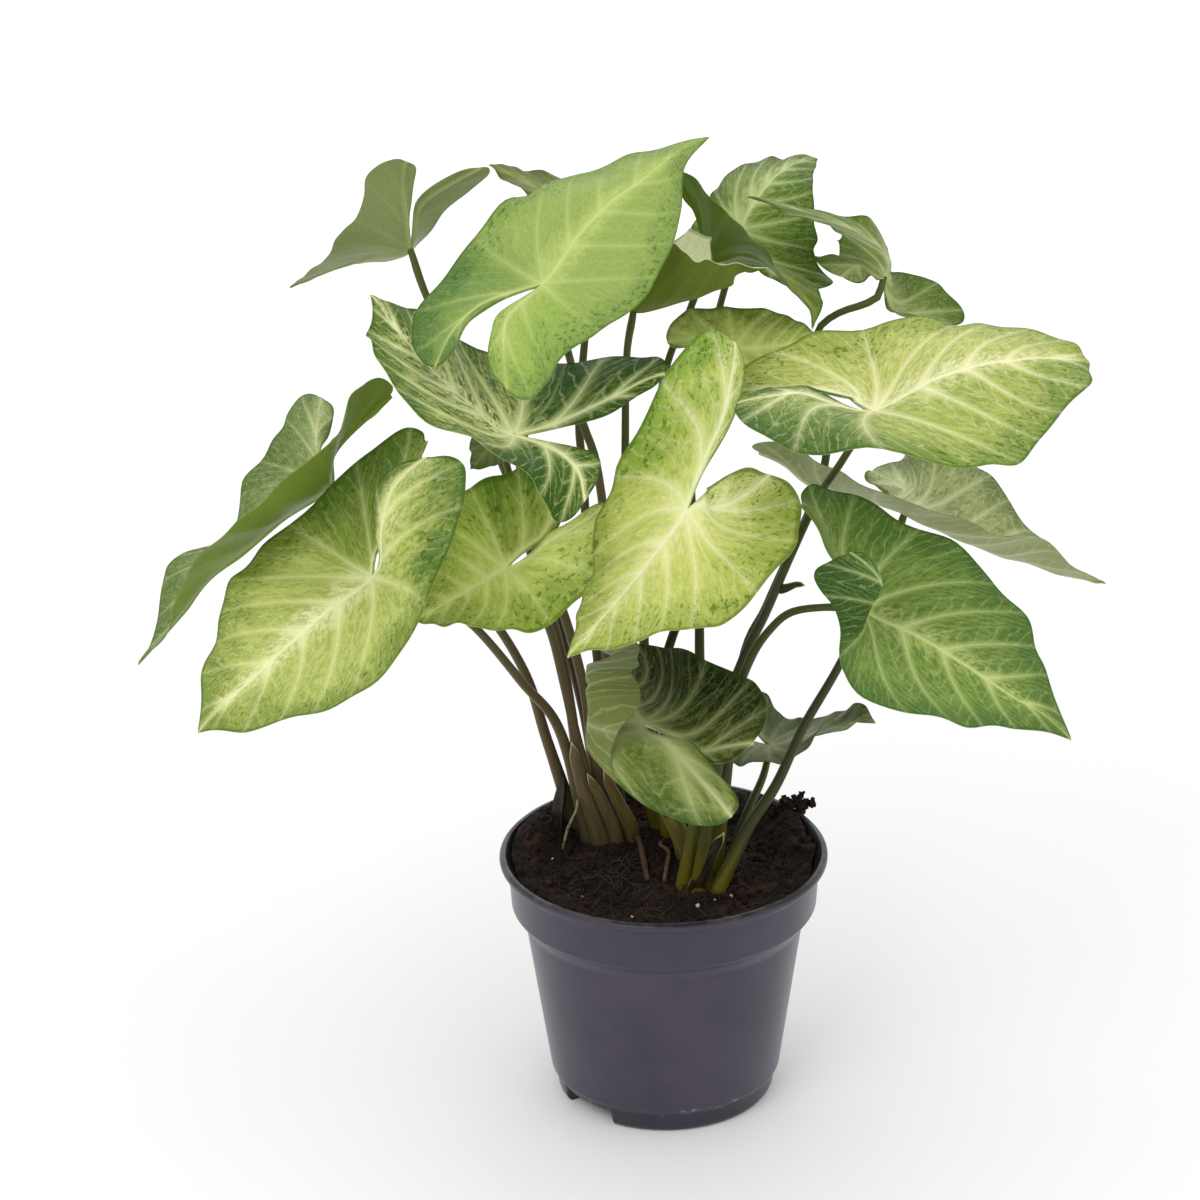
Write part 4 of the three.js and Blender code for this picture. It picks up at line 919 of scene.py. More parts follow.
def regional(paint, key):
    """A colour for every point of the arrowhead, with the parts that have their own."""
    index = ("heart", "field", "border").index(key)
    across, along = arrowhead.points.T
    shares = {
        "halves": np.ones(len(ROW)),
        "lobes": np.clip((LOBE_START - along) / LOBE_FADE, 0, 1),
        # Painted shade: the strip of a lobe next to the notch takes dark colours, for the crease there.
        "notch_shade": NOTCH_SIDE * np.clip(REACH * NOTCH_SHADE_GROWTH - NOTCH_SHADE_START, 0, 1),
    }
    colours = np.tile(pigment(paint[key]), (len(ROW), 1))
    for where, amount in shares.items():
        for half, own in paint.get(where, {}).items():
            sign = -1 if half == "left" else 1
            share = (amount * np.clip(0.5 + sign * across * HALF_SHARPNESS, 0, 1))[:, None]
            colours = colours * (1 - share) + share * np.array(pigment(own[index]))
    return colours


def waves(chance, lengths):
    """Waves along the margin, of the given lengths; each half of the blade has its own phase."""
    total = np.zeros(len(ROW))
    for length in lengths:
        phases = np.where(SIDE > 0, *chance.uniform(0, 2 * math.pi, 2))
        total += np.sin(2 * math.pi * ARC / length + phases) * (length / lengths[0]) ** WAVE_FALL
    return total * np.clip((ARC - WAVE_START) / WAVE_GROWTH, 0, 1)


print("points in the lobes:", int((arrowhead.points[:, 1] < 0).sum()))

# %% [markdown]
# ### Relief
#
# The relief is worked out in millimetres above the thin plate, from each point's distances. A small
# leaf gets less of it. The keel hangs down only on the underside, and thins toward the tip.

# %% Relief of a blade
BLADE_THICKNESS = 0.36
QUILTING = 0.5
GROOVE_DEPTH, GROOVE_WIDTH = -0.35, 1.3
KEEL_HEIGHT, KEEL_WIDTH = 0.8, 0.9
WAVE_HEIGHT, WAVE_LENGTHS, WAVE_FROM_RIB = 1.0, (0.55, 0.33, 0.21), 8
RIPPLE_WIDTH, RIPPLE_LENGTHS, RIPPLE_FROM_RIB = 0.006, (0.42, 0.26), 0.08
FULL_RELIEF_LENGTH = 60
KEEL_END, KEEL_LEAST = 1.05, 0.15


def rippled_outline(chance, waving):
    """The flat arrowhead with its margin rippled in and out."""
    from_rib = np.clip(RIB_GAP / RIPPLE_FROM_RIB, 0, 1)
    ripple = waving * RIPPLE_WIDTH * waves(chance, RIPPLE_LENGTHS) * REACH ** 3 * from_rib
    return arrowhead.points + OUTWARD * ripple[:, None]


def relief_and_keel(chance, waving, length):
    """How far each point stands above the thin plate, and how much further the keel hangs down."""
    rib_mm = RIB_GAP * length
    bulge = waving * QUILTING * BETWEEN * np.sin(np.pi * np.clip(REACH, 0, 1)) ** 0.7
    groove = GROOVE_DEPTH * np.exp(-(rib_mm / GROOVE_WIDTH) ** 2)
    from_rib = np.clip(rib_mm / WAVE_FROM_RIB, 0, 1)
    wave = waving * WAVE_HEIGHT * waves(chance, WAVE_LENGTHS) * REACH ** 3 * from_rib
    thinning = np.clip(KEEL_END - arrowhead.points[:, 1], KEEL_LEAST, 1)
    keel = KEEL_HEIGHT * np.exp(-(rib_mm / KEEL_WIDTH) ** 2) * thinning
    return (bulge + groove + wave) * min(1, length / FULL_RELIEF_LENGTH), keel


print("blade thickness:", BLADE_THICKNESS, "mm")

# %% [markdown]
# ### Paint
#
# Paint goes on as values that are stored on the points, first those of the upper face, then those of
# the underside. The underside takes one dull colour, a little brighter at its heart, with strong ribs
# and hardly any marbling. Each leaf's patterns start at a place of their own, so no two are alike.

# %% Paint for a blade
UNDERSIDE = {"heart": 1.08, "field": 1.0, "border": 0.88}
UNDER_VEIN, UNDER_RIBBING, UNDER_AMOUNTS = 1.3, 0.7, 0.1
UNDER_PLACE, UNDER_EDGE = np.array([0, 0, 300]), 30
LEAF_SHIFT, LEAF_VEIN_SHIFT, HALF_SHIFT = 40.0, 17, 5
VEIN_STRETCH = (1.7, 0.28)
VEIN_NARROWING = 0.8
RIB_WIDTH, RIB_TAPER, RIB_LIMITS = 1.1, 0.7, (0.4, 1.2)


def store_paint(blade, paint, length, seed):
    """Stores on both faces of a blade what its skin is painted by."""
    count = len(ROW)
    under = np.tile(pigment(paint["under"]), (count, 1))
    for key, brightness in UNDERSIDE.items():
        store(blade, key, np.vstack([regional(paint, key), under * brightness]))
    under_vein = under * UNDER_VEIN
    if "under_vein" in paint:
        under_vein = np.tile(pigment(paint["under_vein"]), (count, 1))
    store(blade, "vein", np.vstack([np.tile(pigment(paint["vein"]), (count, 1)), under_vein]))
    place = np.hstack([arrowhead.points * length, np.full((count, 1), seed * LEAF_SHIFT)])
    own_shift = seed * LEAF_VEIN_SHIFT + SIDE * HALF_SHIFT
    by_vein = np.stack([ROW * length * VEIN_STRETCH[0], REACH * length * VEIN_STRETCH[1], own_shift], 1)
    store(blade, "flat_mm", np.vstack([place, place + UNDER_PLACE]))
    store(blade, "vein_mm", np.vstack([by_vein, by_vein + UNDER_PLACE]))
    rib_mm, edge_mm = RIB_GAP * length, EDGE_GAP * length
    store(blade, "line_mm", np.tile(VEIN_GAP * length * (1 + VEIN_NARROWING * REACH), 2))
    store(blade, "half_mm", np.tile(HALF_GAP * length * (1 + VEIN_NARROWING * REACH), 2))
    rib_width = np.clip(RIB_WIDTH - arrowhead.points[:, 1] * RIB_TAPER, *RIB_LIMITS)
    store(blade, "rib_mm", np.tile(rib_mm / rib_width, 2))
    store(blade, "edge_mm", np.concatenate([edge_mm, edge_mm + UNDER_EDGE]))
    store(blade, "reach", np.tile(REACH, 2))
    store(blade, "along_mm", np.tile(rib_mm, 2))
    store(blade, "ribbing", np.repeat([paint["ribs"], UNDER_RIBBING], count))
    amounts = np.tile([paint["net"], paint["streak"], paint["speck"]], (count, 1))
    store(blade, "amounts", np.vstack([amounts, amounts * UNDER_AMOUNTS]))


print("painted by:", ", ".join(key for keys in BLADE_FACTS.values() for key in keys))

# %% [markdown]
# ### The blades
#
# The bent pattern is the middle layer of the blade. Its points are moved along their normals, up by
# half the thickness and the relief, and down likewise, and the rim is closed between them. Only the
# rim is sharp enough to be shaded as an edge.

# %% Grow the blades
BLADE_CREASE = math.radians(65)


def grow_blade(name, leaf, seed):
    """One leaf's blade; gives back its middle layer, that layer's normals and the midrib's length."""
    chance = np.random.default_rng(seed)
    waving = leaf.get("waving", 1.0)
    middle = bend(leaf, rippled_outline(chance, waving))
    spine = [np.array(leaf["spine"][part], float) for part in ("junction", "middle", "tip")]
    length = np.linalg.norm(spine[1] - spine[0]) + np.linalg.norm(spine[2] - spine[1])
    up = normals_of(middle, arrowhead.faces)
    relief, keel = relief_and_keel(chance, waving, length)
    top = middle + up * (relief + BLADE_THICKNESS / 2)[:, None]
    bottom = middle + up * (relief - BLADE_THICKNESS / 2 - keel)[:, None]
    count = len(top)
    faces = [list(face) for face in arrowhead.faces]
    faces += [[corner + count for corner in reversed(face)] for face in arrowhead.faces]
    faces += [[b, a, a + count, b + count] for a, b in arrowhead.rim]
    slot = SLOTS[name + "_blade"]
    blade = make_piece(name + "_living_blade", np.vstack([top, bottom]), faces, BLADE_SKINS[slot],
                       [name + "_blade"])
    blade.data.set_sharp_from_angle(angle=BLADE_CREASE)
    store_paint(blade, PAINT[name], length, seed)
    return middle, up, length


grown = {name: grow_blade(name, leaf, number + 1) for number, (name, leaf) in enumerate(LEAVES.items())}
lengths = [length for middle, up, length in grown.values()]
print("blades:", len(grown), "from", round(min(lengths)), "to", round(max(lengths)), "mm long")

# %% [markdown]
# ## Stalks
#
# A leaf stalk is a smooth, waxy rod. It leaves the crown thick and brownish, thins to under three
# millimetres, and turns olive green toward its leaf, where it swells a little before it joins the
# midrib. A swept tube with a changing radius is the simplest true shape for it. Stalks of the left
# crown are browner, those of the other two greener, and both blend their colours by height.

# %% Paths and tubes
CURVE_STEPS = 24


def smooth_path(places, count):
    """Points along a smooth curve through the places, evenly spaced."""
    ends = padded(places)
    fine = []
    for a, b, c, d in zip(ends, ends[1:], ends[2:], ends[3:]):
        fine += [catmull_rom(a, b, c, d, t) for t in np.linspace(0, 1, CURVE_STEPS, endpoint=False)]
    fine = np.array(fine + [ends[-2]])
    length = np.concatenate([[0], np.cumsum(np.linalg.norm(np.diff(fine, axis=0), axis=1))])
    wanted = np.linspace(0, length[-1], count)
    return np.stack([np.interp(wanted, length, fine[:, i]) for i in range(fine.shape[1])], 1)


def tube_parts(path, radii, sides, first=0):
    """Points and faces of a closed round tube along a path; first is the first point's number."""
    path = np.asarray(path, float)
    along = np.gradient(path, axis=0)
    along /= np.linalg.norm(along, axis=1)[:, None]
    across = np.cross(along[0], [0.3, 1, 0.2])
    points = []
    for centre, direction, radius in zip(path, along, radii):
        across = across - direction * np.dot(across, direction)
        across /= np.linalg.norm(across)
        other = np.cross(direction, across)
        for side in range(sides):
            angle = 2 * math.pi * side / sides
            points.append(centre + radius * (across * math.cos(angle) + other * math.sin(angle)))
    faces = []
    for ring in range(len(path) - 1):
        for side in range(sides):
            here, there = first + ring * sides + side, first + ring * sides + (side + 1) % sides
            faces.append([here, there, there + sides, here + sides])
    faces.append([first + side for side in reversed(range(sides))])
    faces.append([first + (len(path) - 1) * sides + side for side in range(sides)])
    return points, faces


print("even steps on a straight path of 9 mm:", smooth_path([(0, 0, 0), (0, 0, 4), (0, 0, 9)], 4)[:, 2])

# %% [markdown]
# ### Material: waxy stalk
#
# The same wax lies on a stalk as on a blade, with a somewhat clearer shine. The colour changes with
# the way climbed, from 0 at the crown to 1 at the blade, and a mottled noise makes the change uneven.

# %% Stalk skin
STALK_GRAIN = (0.6, 4.0, 0.6)
STALK_MOTTLE = 0.3
FOOT_FADE = (0.34, 0.16, 1.0, 0.0)
GREENING_FADE = (1.15, 0.65, 1.0, 0.0)


def stalk_material():
    material, tree, shader = new_material("waxy leaf stalk", Roughness=0.42, IOR=1.45,
                                          Specular_IOR_Level=0.25)
    foot, middle = [add(tree, "Attribute", attribute_name=key, out="Color") for key in ("foot", "middle")]
    climb = add(tree, "Attribute", attribute_name="climb", out="Fac")
    place = add(tree, "Attribute", attribute_name="skin_mm", out="Vector")
    grain = add(tree, "TexNoise", place, *STALK_GRAIN)
    mottle = add(tree, "Math", grain, STALK_MOTTLE, operation="MULTIPLY")
    shifted = add(tree, "Math", climb, mottle, operation="ADD")
    colour = add(tree, "Mix", add(tree, "MapRange", shifted, *FOOT_FADE), foot, middle)
    greening = add(tree, "MapRange", shifted, *GREENING_FADE)
    colour = add(tree, "Mix", greening, colour, pigment("4e5a2a"))
    tree.links.new(colour, shader.inputs["Base Color"])
    return material


stalk_skin = stalk_material()
print("material:", stalk_skin.name)

# %% [markdown]
# ### The stalks
#
# A stalk ends just under its blade, at the junction that the blade was really bent to.

# %% Grow the stalks
STALK_SIDES = 14
STALK_STEPS = 64
STALK_GIRTH = [(0, 3.1), (.08, 2.7), (.2, 2.1), (.4, 1.75), (.9, 1.3), (.97, 1.45), (1, 1.2)]
BROWN_STALK, GREEN_STALK = ("54503a", "5f5439"), ("66611f", "44452a")
JOIN_DEPTH = 0.9
SKIN_TURN, SKIN_DRAW = 1.3, 0.08


def grow_stalk(name, leaf):
    """A stalk from its crown to just under its blade's junction."""
    middle, up, length = grown[name]
    junction = int(np.argmin(np.linalg.norm(arrowhead.points, axis=1)))
    path = smooth_path([*leaf["stalk"], middle[junction] - up[junction] * JOIN_DEPTH], STALK_STEPS)
    climb = np.linspace(0, 1, STALK_STEPS)
    points, faces = tube_parts(path, np.interp(climb, *zip(*STALK_GIRTH)), STALK_SIDES)
    stalk = make_piece(name + "_living_stalk", points, faces, stalk_skin, [name + "_stalk"])
    foot, tint = BROWN_STALK if name in LEFT_CROWN_LEAVES else GREEN_STALK
    height = np.repeat(path[:, 2], STALK_SIDES)
    around = np.tile(np.arange(STALK_SIDES) * SKIN_TURN, STALK_STEPS)
    store(stalk, "climb", np.repeat(climb, STALK_SIDES))
    store(stalk, "foot", np.tile(pigment(foot), (len(points), 1)))
    store(stalk, "middle", np.tile(pigment(tint), (len(points), 1)))
    store(stalk, "skin_mm", np.stack([around, height * SKIN_DRAW, np.full(len(points), path[0, 0])], 1))
    return path


paths = [grow_stalk(name, leaf) for name, leaf in LEAVES.items()]
print("stalks:", len(paths), "the highest ends at", round(max(path[-1, 2] for path in paths)), "mm")

# %% [markdown]
# ## Crowns
#
# Each clump of stalks stands on a short stem, a crown, ringed by the scars of older leaves. It is a
# stub turned on a lathe, that is, a profile swept about an axis, and a slow noise makes it lumpy. Its
# bark is corky, so it is dull and blotched, and a wave along Z draws the scars.

# %% Turn and colour the crowns
CROWNS = {"left_crown": ((-21.5, 29.5), 11.5, 92), "middle_crown": ((6, 28), 10, 90.5),
          "right_crown": ((13, -10), 8.5, 88.5)}
CROWN_FOOT, CROWN_SHOULDER, CROWN_SEGMENTS = 78, 86, 40
CROWN_LUMPS, CROWN_SWELL, CROWN_RISE = 0.22, 0.18, 1.4
CROWN_BLOTCHES, CROWN_BLOTCH_FADE = (260.0, 4.0, 0.6), (0.6, 0.4, 1.0, 0.0)
CROWN_RINGS = (160.0, 3.0)


def lathe(profile, segments):
    """Rings of points turned about Z; the profile starts and ends on the axis."""
    points, faces, rings = [], [], []
    for radius, height in profile:
        if radius < 1e-6:
            rings.append([len(points)])
            points.append((0, 0, height))
            continue
        rings.append(list(range(len(points), len(points) + segments)))
        for step in range(segments):
            angle = 2 * math.pi * step / segments
            points.append((radius * math.cos(angle), radius * math.sin(angle), height))
    for low, high in zip(rings, rings[1:]):
        for step in range(segments):
            after = (step + 1) % segments
            corners = [low[step % len(low)], low[after % len(low)],
                       high[after % len(high)], high[step % len(high)]]
            faces.append(list(dict.fromkeys(corners)))
    return np.array(points), faces


def crown_material():
    material, tree, shader = new_material("ringed corky crown", Roughness=0.7, IOR=1.45)
    place = add(tree, "NewGeometry", out="Position")
    blotch = add(tree, "MapRange", add(tree, "TexNoise", place, *CROWN_BLOTCHES), *CROWN_BLOTCH_FADE)
    ring = add(tree, "TexWave", place, *CROWN_RINGS, inputs=("Vector", "Scale", "Distortion"),
               bands_direction="Z", out="Fac")
    colour = add(tree, "Mix", blotch, linear("4f3a22"), linear("6a5a2c"))
    colour = add(tree, "Mix", add(tree, "Math", ring, 0.5, operation="MULTIPLY"), colour, linear("2f2114"))
    tree.links.new(colour, shader.inputs["Base Color"])
    return material


crown_skin = crown_material()
for name, ((x, y), radius, top) in CROWNS.items():
    profile = [(0, CROWN_FOOT), (radius, CROWN_FOOT), (radius, CROWN_SHOULDER), (0.9 * radius, top - 3),
               (0.7 * radius, top - 1), (0.4 * radius, top), (0, top)]
    points, faces = lathe(profile, CROWN_SEGMENTS)
    for point in points:
        lump = noise.noise(Vector(point) * CROWN_LUMPS + Vector((x, y, 0)))
        point[:2] *= 1 + CROWN_SWELL * lump
        point[2] += CROWN_RISE * lump if point[2] > CROWN_FOOT + 1 else 0
    make_piece(name + "_knuckle", points + (x, y, 0), faces, crown_skin, [name])
print("crowns:", len(CROWNS))

# %% [markdown]
# ## Sheaths
#
# The foot of a stalk is drawn out into a sheath, a gutter with thin cream edges that clasps the next
# stalk. A gutter is a bent sheet, so each sheath, and the one that has died, is a sheet given a
# thickness. Where each one runs is listed first.

# %% Where the sheaths run
# Each sheath: the line of its back from the crown up, its half width at the foot in millimetres, how
# far it wraps to either side in degrees, and its colour.
SHEATHS = {
    "outer_sheath": dict(line=[(-22, 17, 88), (-24, 15, 98), (-28.5, 12.5, 114), (-33, 9.5, 135)],
                         width=3.4, wrap=110, colour="6c5f40"),
    "middle_sheath": dict(line=[(-16, 16.5, 88), (-18, 14.5, 98), (-22.5, 13, 110), (-27.5, 12, 121)],
                          width=2.7, wrap=105, colour="685a38"),
    "inner_sheath": dict(line=[(-10, 19, 88), (-12, 16, 98), (-17, 14.5, 110), (-21.5, 13, 122)],
                         width=3.0, wrap=95, colour="665a2c"),
    "right_sheath": dict(line=[(11.5, -18.5, 85), (13, -20, 92), (17, -20.5, 103), (21.5, -20, 112)],
                         width=3.4, wrap=90, colour="1d1907"),
    "stalk_bract": dict(line=[(40.2, -26, 208.5), (43, -28, 210), (46.5, -29.5, 212), (49.5, -30, 212)],
                        width=1.7, wrap=80, colour="3c3c22"),
    "front_sheath": dict(line=[(10, 4, 84), (8.5, 1.5, 95), (3.5, 3, 106), (-3, 5, 117)],
                         width=4.4, wrap=100, colour="6c6a2e"),
}
print("sheaths:", len(SHEATHS))

# %% [markdown]
# ### Material: papery-edged sheath
#
# A sheath grows smooth and waxy, and dries to cream paper at its edges. The cream follows the
# distance from the edge in millimetres, and a fine noise makes it ragged and blotches the rest.

# %% Sheath skin
SHEATH_GRAIN = (1.0, 4.0, 0.6)
SHEATH_BLOTCH_FADE, CREAM_EDGE_FADE = (0.62, 0.38, 0.5, 0.0), (0.35, 0.9, 1.0, 0.0)


def sheath_material():
    material, tree, shader = new_material("clasping sheath with papery edges", Roughness=0.5, IOR=1.45,
                                          Specular_IOR_Level=0.2)
    place = add(tree, "Attribute", attribute_name="skin_mm", out="Vector")
    foot = add(tree, "Attribute", attribute_name="foot", out="Color")
    grain = add(tree, "TexNoise", place, *SHEATH_GRAIN)
    skin = add(tree, "Mix", add(tree, "MapRange", grain, *SHEATH_BLOTCH_FADE), foot, linear("443a24"))
    edge = add(tree, "Attribute", attribute_name="edge_mm", out="Fac")
    edge = add(tree, "Math", edge, add(tree, "Math", grain, 0.5, operation="MULTIPLY"), operation="ADD")
    colour = add(tree, "Mix", add(tree, "MapRange", edge, *CREAM_EDGE_FADE), skin, linear("b5a984"))
    tree.links.new(colour, shader.inputs["Base Color"])
    return material


sheath_skin = sheath_material()
print("material:", sheath_skin.name)

# %% [markdown]
# ### Wrapping the sheaths
#
# A sheet is a grid of points. Each row of a gutter is an arc that turns its back to the front and
# clasps the stalk behind it, and higher up the arcs are narrower. The sheet's second layer lies
# behind the first, along its normals, and a rim closes the two.

# %% Wrap the sheaths
SHEATH_FACING = np.array([0.15, -1.0, 0.25])
SHEATH_ROWS, SHEATH_COLUMNS = 40, 17
SHEATH_THICKNESS, SHEATH_NARROWING = 0.5, 0.55
SHEATH_OPENING = ([0, 0.85, 1], [1, 0.75, 0.05])
SHEATH_SKIN = 4


def shell(grid, thickness):
    """A thin closed sheet: the grid's points [row, column], and a second layer behind them."""
    rows, columns = grid.shape[:2]
    number = np.arange(rows * columns).reshape(rows, columns)
    faces = [[number[r, c], number[r + 1, c], number[r + 1, c + 1], number[r, c + 1]]
             for r in range(rows - 1) for c in range(columns - 1)]
    points = grid.reshape(-1, 3)
    normal = normals_of(points, faces + [[0, 1, 2]])
    count = len(points)
    rim = [*number[0, :-1], *number[:-1, -1], *number[-1, :0:-1], *number[:0:-1, 0]]
    back = [[corner + count for corner in reversed(face)] for face in faces]
    side = [[a, b, b + count, a + count] for a, b in zip(rim, rim[1:] + rim[:1])]
    layers = [points + normal * thickness / 2, points - normal * thickness / 2]
    return np.vstack(layers), faces + back + side


def wrap_sheath(line, width, wrap):
    """A gutter's points [row, column], each point's distance from its edge, and its turn and climb."""
    path = smooth_path(line, SHEATH_ROWS)
    along = np.gradient(path, axis=0)
    along /= np.linalg.norm(along, axis=1)[:, None]
    facing = SHEATH_FACING - along * (along @ SHEATH_FACING)[:, None]
    facing /= np.linalg.norm(facing, axis=1)[:, None]
    across = np.cross(along, facing)
    climb = np.linspace(0, 1, SHEATH_ROWS)
    radius = width * (1 - SHEATH_NARROWING * climb)
    spread = np.interp(climb, *SHEATH_OPENING)
    turned = spread[:, None] * np.radians(wrap) * np.linspace(-1, 1, SHEATH_COLUMNS)
    grid = (path[:, None] + radius[:, None, None] * (facing[:, None] * (np.cos(turned) - 1)[..., None]
                                                     + across[:, None] * np.sin(turned)[..., None]))
    edge_mm = radius[:, None] * (np.radians(wrap) * spread[:, None] - np.abs(turned))
    return grid, edge_mm, turned, climb


for name, sheath in SHEATHS.items():
    grid, edge_mm, turned, climb = wrap_sheath(sheath["line"], sheath["width"], sheath["wrap"])
    points, faces = shell(grid, SHEATH_THICKNESS)
    piece = make_piece(name, points, faces, sheath_skin)
    store(piece, "edge_mm", np.tile(edge_mm.ravel(), 2))
    store(piece, "foot", np.tile(linear(sheath["colour"]), (len(points), 1)))
    climbed = np.repeat(climb * SHEATH_SKIN, SHEATH_COLUMNS).reshape(turned.shape)
    flat = np.stack([turned * SHEATH_SKIN, climbed, np.full(turned.shape, sheath["width"])], -1)
    store(piece, "skin_mm", np.tile(flat.reshape(-1, 3), (2, 1)))
print("points of a sheath:", len(points))

# %% [markdown]
# ### The dead sheath
#
# A sheath that has died hangs at the left of the clump: a dry, dark strip that is curled along its
# length. It has the other sheaths' skin, but counts as far from any edge, so nothing on it is cream.

# %% The dead sheath
DEAD_FOOT, DEAD_LENGTH = (-36.6, 20.4, 88.9), 28
DEAD_ROWS, DEAD_COLUMNS = 24, 9
DEAD_WIDTH, DEAD_TURN = 3.8, math.radians(-62)
DEAD_CURL, DEAD_WANDER, DEAD_LEAN, DEAD_TWISTS = 1.6, 1.2, 0.3, 5
DEAD_THICKNESS, FAR_FROM_EDGE, DEAD_GRAIN = 0.4, 2.0, 0.3
part = np.linspace(0, 1, DEAD_ROWS)[:, None]
across = np.linspace(-1, 1, DEAD_COLUMNS)[None]
width = DEAD_WIDTH * np.sin(np.pi * np.clip(0.12 + 0.88 * part, 0, 1)) ** 0.7
curl = DEAD_CURL * across ** 2 + DEAD_WANDER * np.sin(DEAD_TWISTS * part)
grid = np.stack([DEAD_FOOT[0] + width * across * math.cos(DEAD_TURN) + curl * math.sin(DEAD_TURN),
                 DEAD_FOOT[1] + width * across * math.sin(DEAD_TURN) + curl * DEAD_LEAN,
                 DEAD_FOOT[2] + DEAD_LENGTH * part + 0 * across], -1)
points, faces = shell(grid, DEAD_THICKNESS)
dead_sheath = make_piece("dead_sheath", points, faces, sheath_skin, ["papery_sheath"])
store(dead_sheath, "edge_mm", np.full(len(points), FAR_FROM_EDGE))
store(dead_sheath, "foot", np.tile(linear("170f0a"), (len(points), 1)))
store(dead_sheath, "skin_mm", points * DEAD_GRAIN)
print("dead sheath:", len(faces), "faces")

# %% [markdown]
# ## Thick roots
#
# An arrowhead plant climbs, and puts out roots above the soil, dull and corky like old string. Three
# show here. Each is a tube that swells and shrinks by a slow noise, darker in blotches of two
# millimetres.

# %% Thick roots
ROOTS = {
    "aerial_root": ([(-31, 13, 110), (-32, 13, 105), (-35, 13, 98), (-37, 14, 89.2)], 0.5, "a08c6c"),
    "stub_root": ([(-10.5, 17.5, 91.6), (-9, 11, 94.5), (-8, 3, 94), (-7, -5, 91.5), (-6, -12, 89)],
                  0.95, "50382a"),
    "hooked_root": ([(0.5, 16, 91), (-1, 9, 93), (2, 4, 92.4), (1, -5, 91), (0, -13, 89)], 0.8, "664c38"),
}
ROOT_STEPS, ROOT_SIDES = 48, 12
ROOT_SWELL, ROOT_LUMPS = 0.25, 0.35
ROOT_BLOTCHES, ROOT_BLOTCH_FADE = (500.0, 4.0, 0.6), (0.62, 0.42, 0.7, 0.0)


def root_material():
    material, tree, shader = new_material("corky root skin", Roughness=0.75, IOR=1.45)
    place = add(tree, "NewGeometry", out="Position")
    blotch = add(tree, "MapRange", add(tree, "TexNoise", place, *ROOT_BLOTCHES), *ROOT_BLOTCH_FADE)
    foot = add(tree, "Attribute", attribute_name="foot", out="Color")
    tree.links.new(add(tree, "Mix", blotch, foot, linear("3a2116")), shader.inputs["Base Color"])
    return material


root_skin = root_material()
for name, (line, radius, colour) in ROOTS.items():
    path = smooth_path(line, ROOT_STEPS)
    radii = [radius * (1 + ROOT_SWELL * noise.noise(Vector(place) * ROOT_LUMPS)) for place in path]
    points, faces = tube_parts(path, radii, ROOT_SIDES)
    piece = make_piece(name + "_skin", points, faces, root_skin, [name])
    store(piece, "foot", np.tile(linear(colour), (len(points), 1)))
print("thick roots:", len(ROOTS))

# %% [markdown]
# ## The nursery pot
#
# A nursery pot is one thin wall of injection-moulded polypropylene: a tapered body, a deeper collar
# to stack by, a thin rolled lip and a foot ring with drain notches. One profile turned about the
# axis gives all of it, with every edge rounded as a mould leaves it.

# %% The pot's profile
POT_HEIGHT, RIM_RADIUS, LIP_HEIGHT = 95.5, 60, 3.2
COLLAR_RADIUS, COLLAR_FOOT = 56.3, 72.3
BODY_TOP_RADIUS, BODY_BOTTOM_RADIUS = 51.4, 42.5
FOOT_HEIGHT, FOOT_RADIUS = 9.6, 38.6
BOSS_RADIUS, DRAIN_RAISE, WALL = 14, 4, 1.4
MOULD_ROUNDING, CORNER_STEPS, CORNER_SHARE = 0.9, 6, 0.45
POT_SEGMENTS = 360


def rounded(profile, radius):
    """The profile with each inner corner turned into a short curve."""
    profile = [np.array(point, float) for point in profile]
    out = [profile[0]]
    for before, corner, after in zip(profile, profile[1:], profile[2:]):
        reach_in = min(radius, CORNER_SHARE * np.linalg.norm(corner - before))
        reach_out = min(radius, CORNER_SHARE * np.linalg.norm(after - corner))
        start = corner + (before - corner) / np.linalg.norm(before - corner) * reach_in
        end = corner + (after - corner) / np.linalg.norm(after - corner) * reach_out
        steps = np.linspace(0, 1, CORNER_STEPS)
        out += [(1 - t) ** 2 * start + 2 * t * (1 - t) * corner + t * t * end for t in steps]
    return out + [profile[-1]]


POT_OUTSIDE = [
    (0, 0), (BOSS_RADIUS, 0), (BOSS_RADIUS + 2, DRAIN_RAISE), (FOOT_RADIUS - 4.4, DRAIN_RAISE),
    (FOOT_RADIUS - 3, 0), (FOOT_RADIUS, 0), (FOOT_RADIUS + 1.4, 1.6),
    (BODY_BOTTOM_RADIUS - 1.3, FOOT_HEIGHT - 1), (BODY_BOTTOM_RADIUS, FOOT_HEIGHT),
    (BODY_TOP_RADIUS - 0.3, COLLAR_FOOT - 3), (BODY_TOP_RADIUS + 1, COLLAR_FOOT),
    (COLLAR_RADIUS - 0.4, COLLAR_FOOT + 3.5), (COLLAR_RADIUS + 0.6, POT_HEIGHT - LIP_HEIGHT - 1.5),
    (RIM_RADIUS - 0.9, POT_HEIGHT - LIP_HEIGHT), (RIM_RADIUS, POT_HEIGHT - LIP_HEIGHT + 0.8),
    (RIM_RADIUS, POT_HEIGHT - 0.9), (RIM_RADIUS - 1, POT_HEIGHT),
]
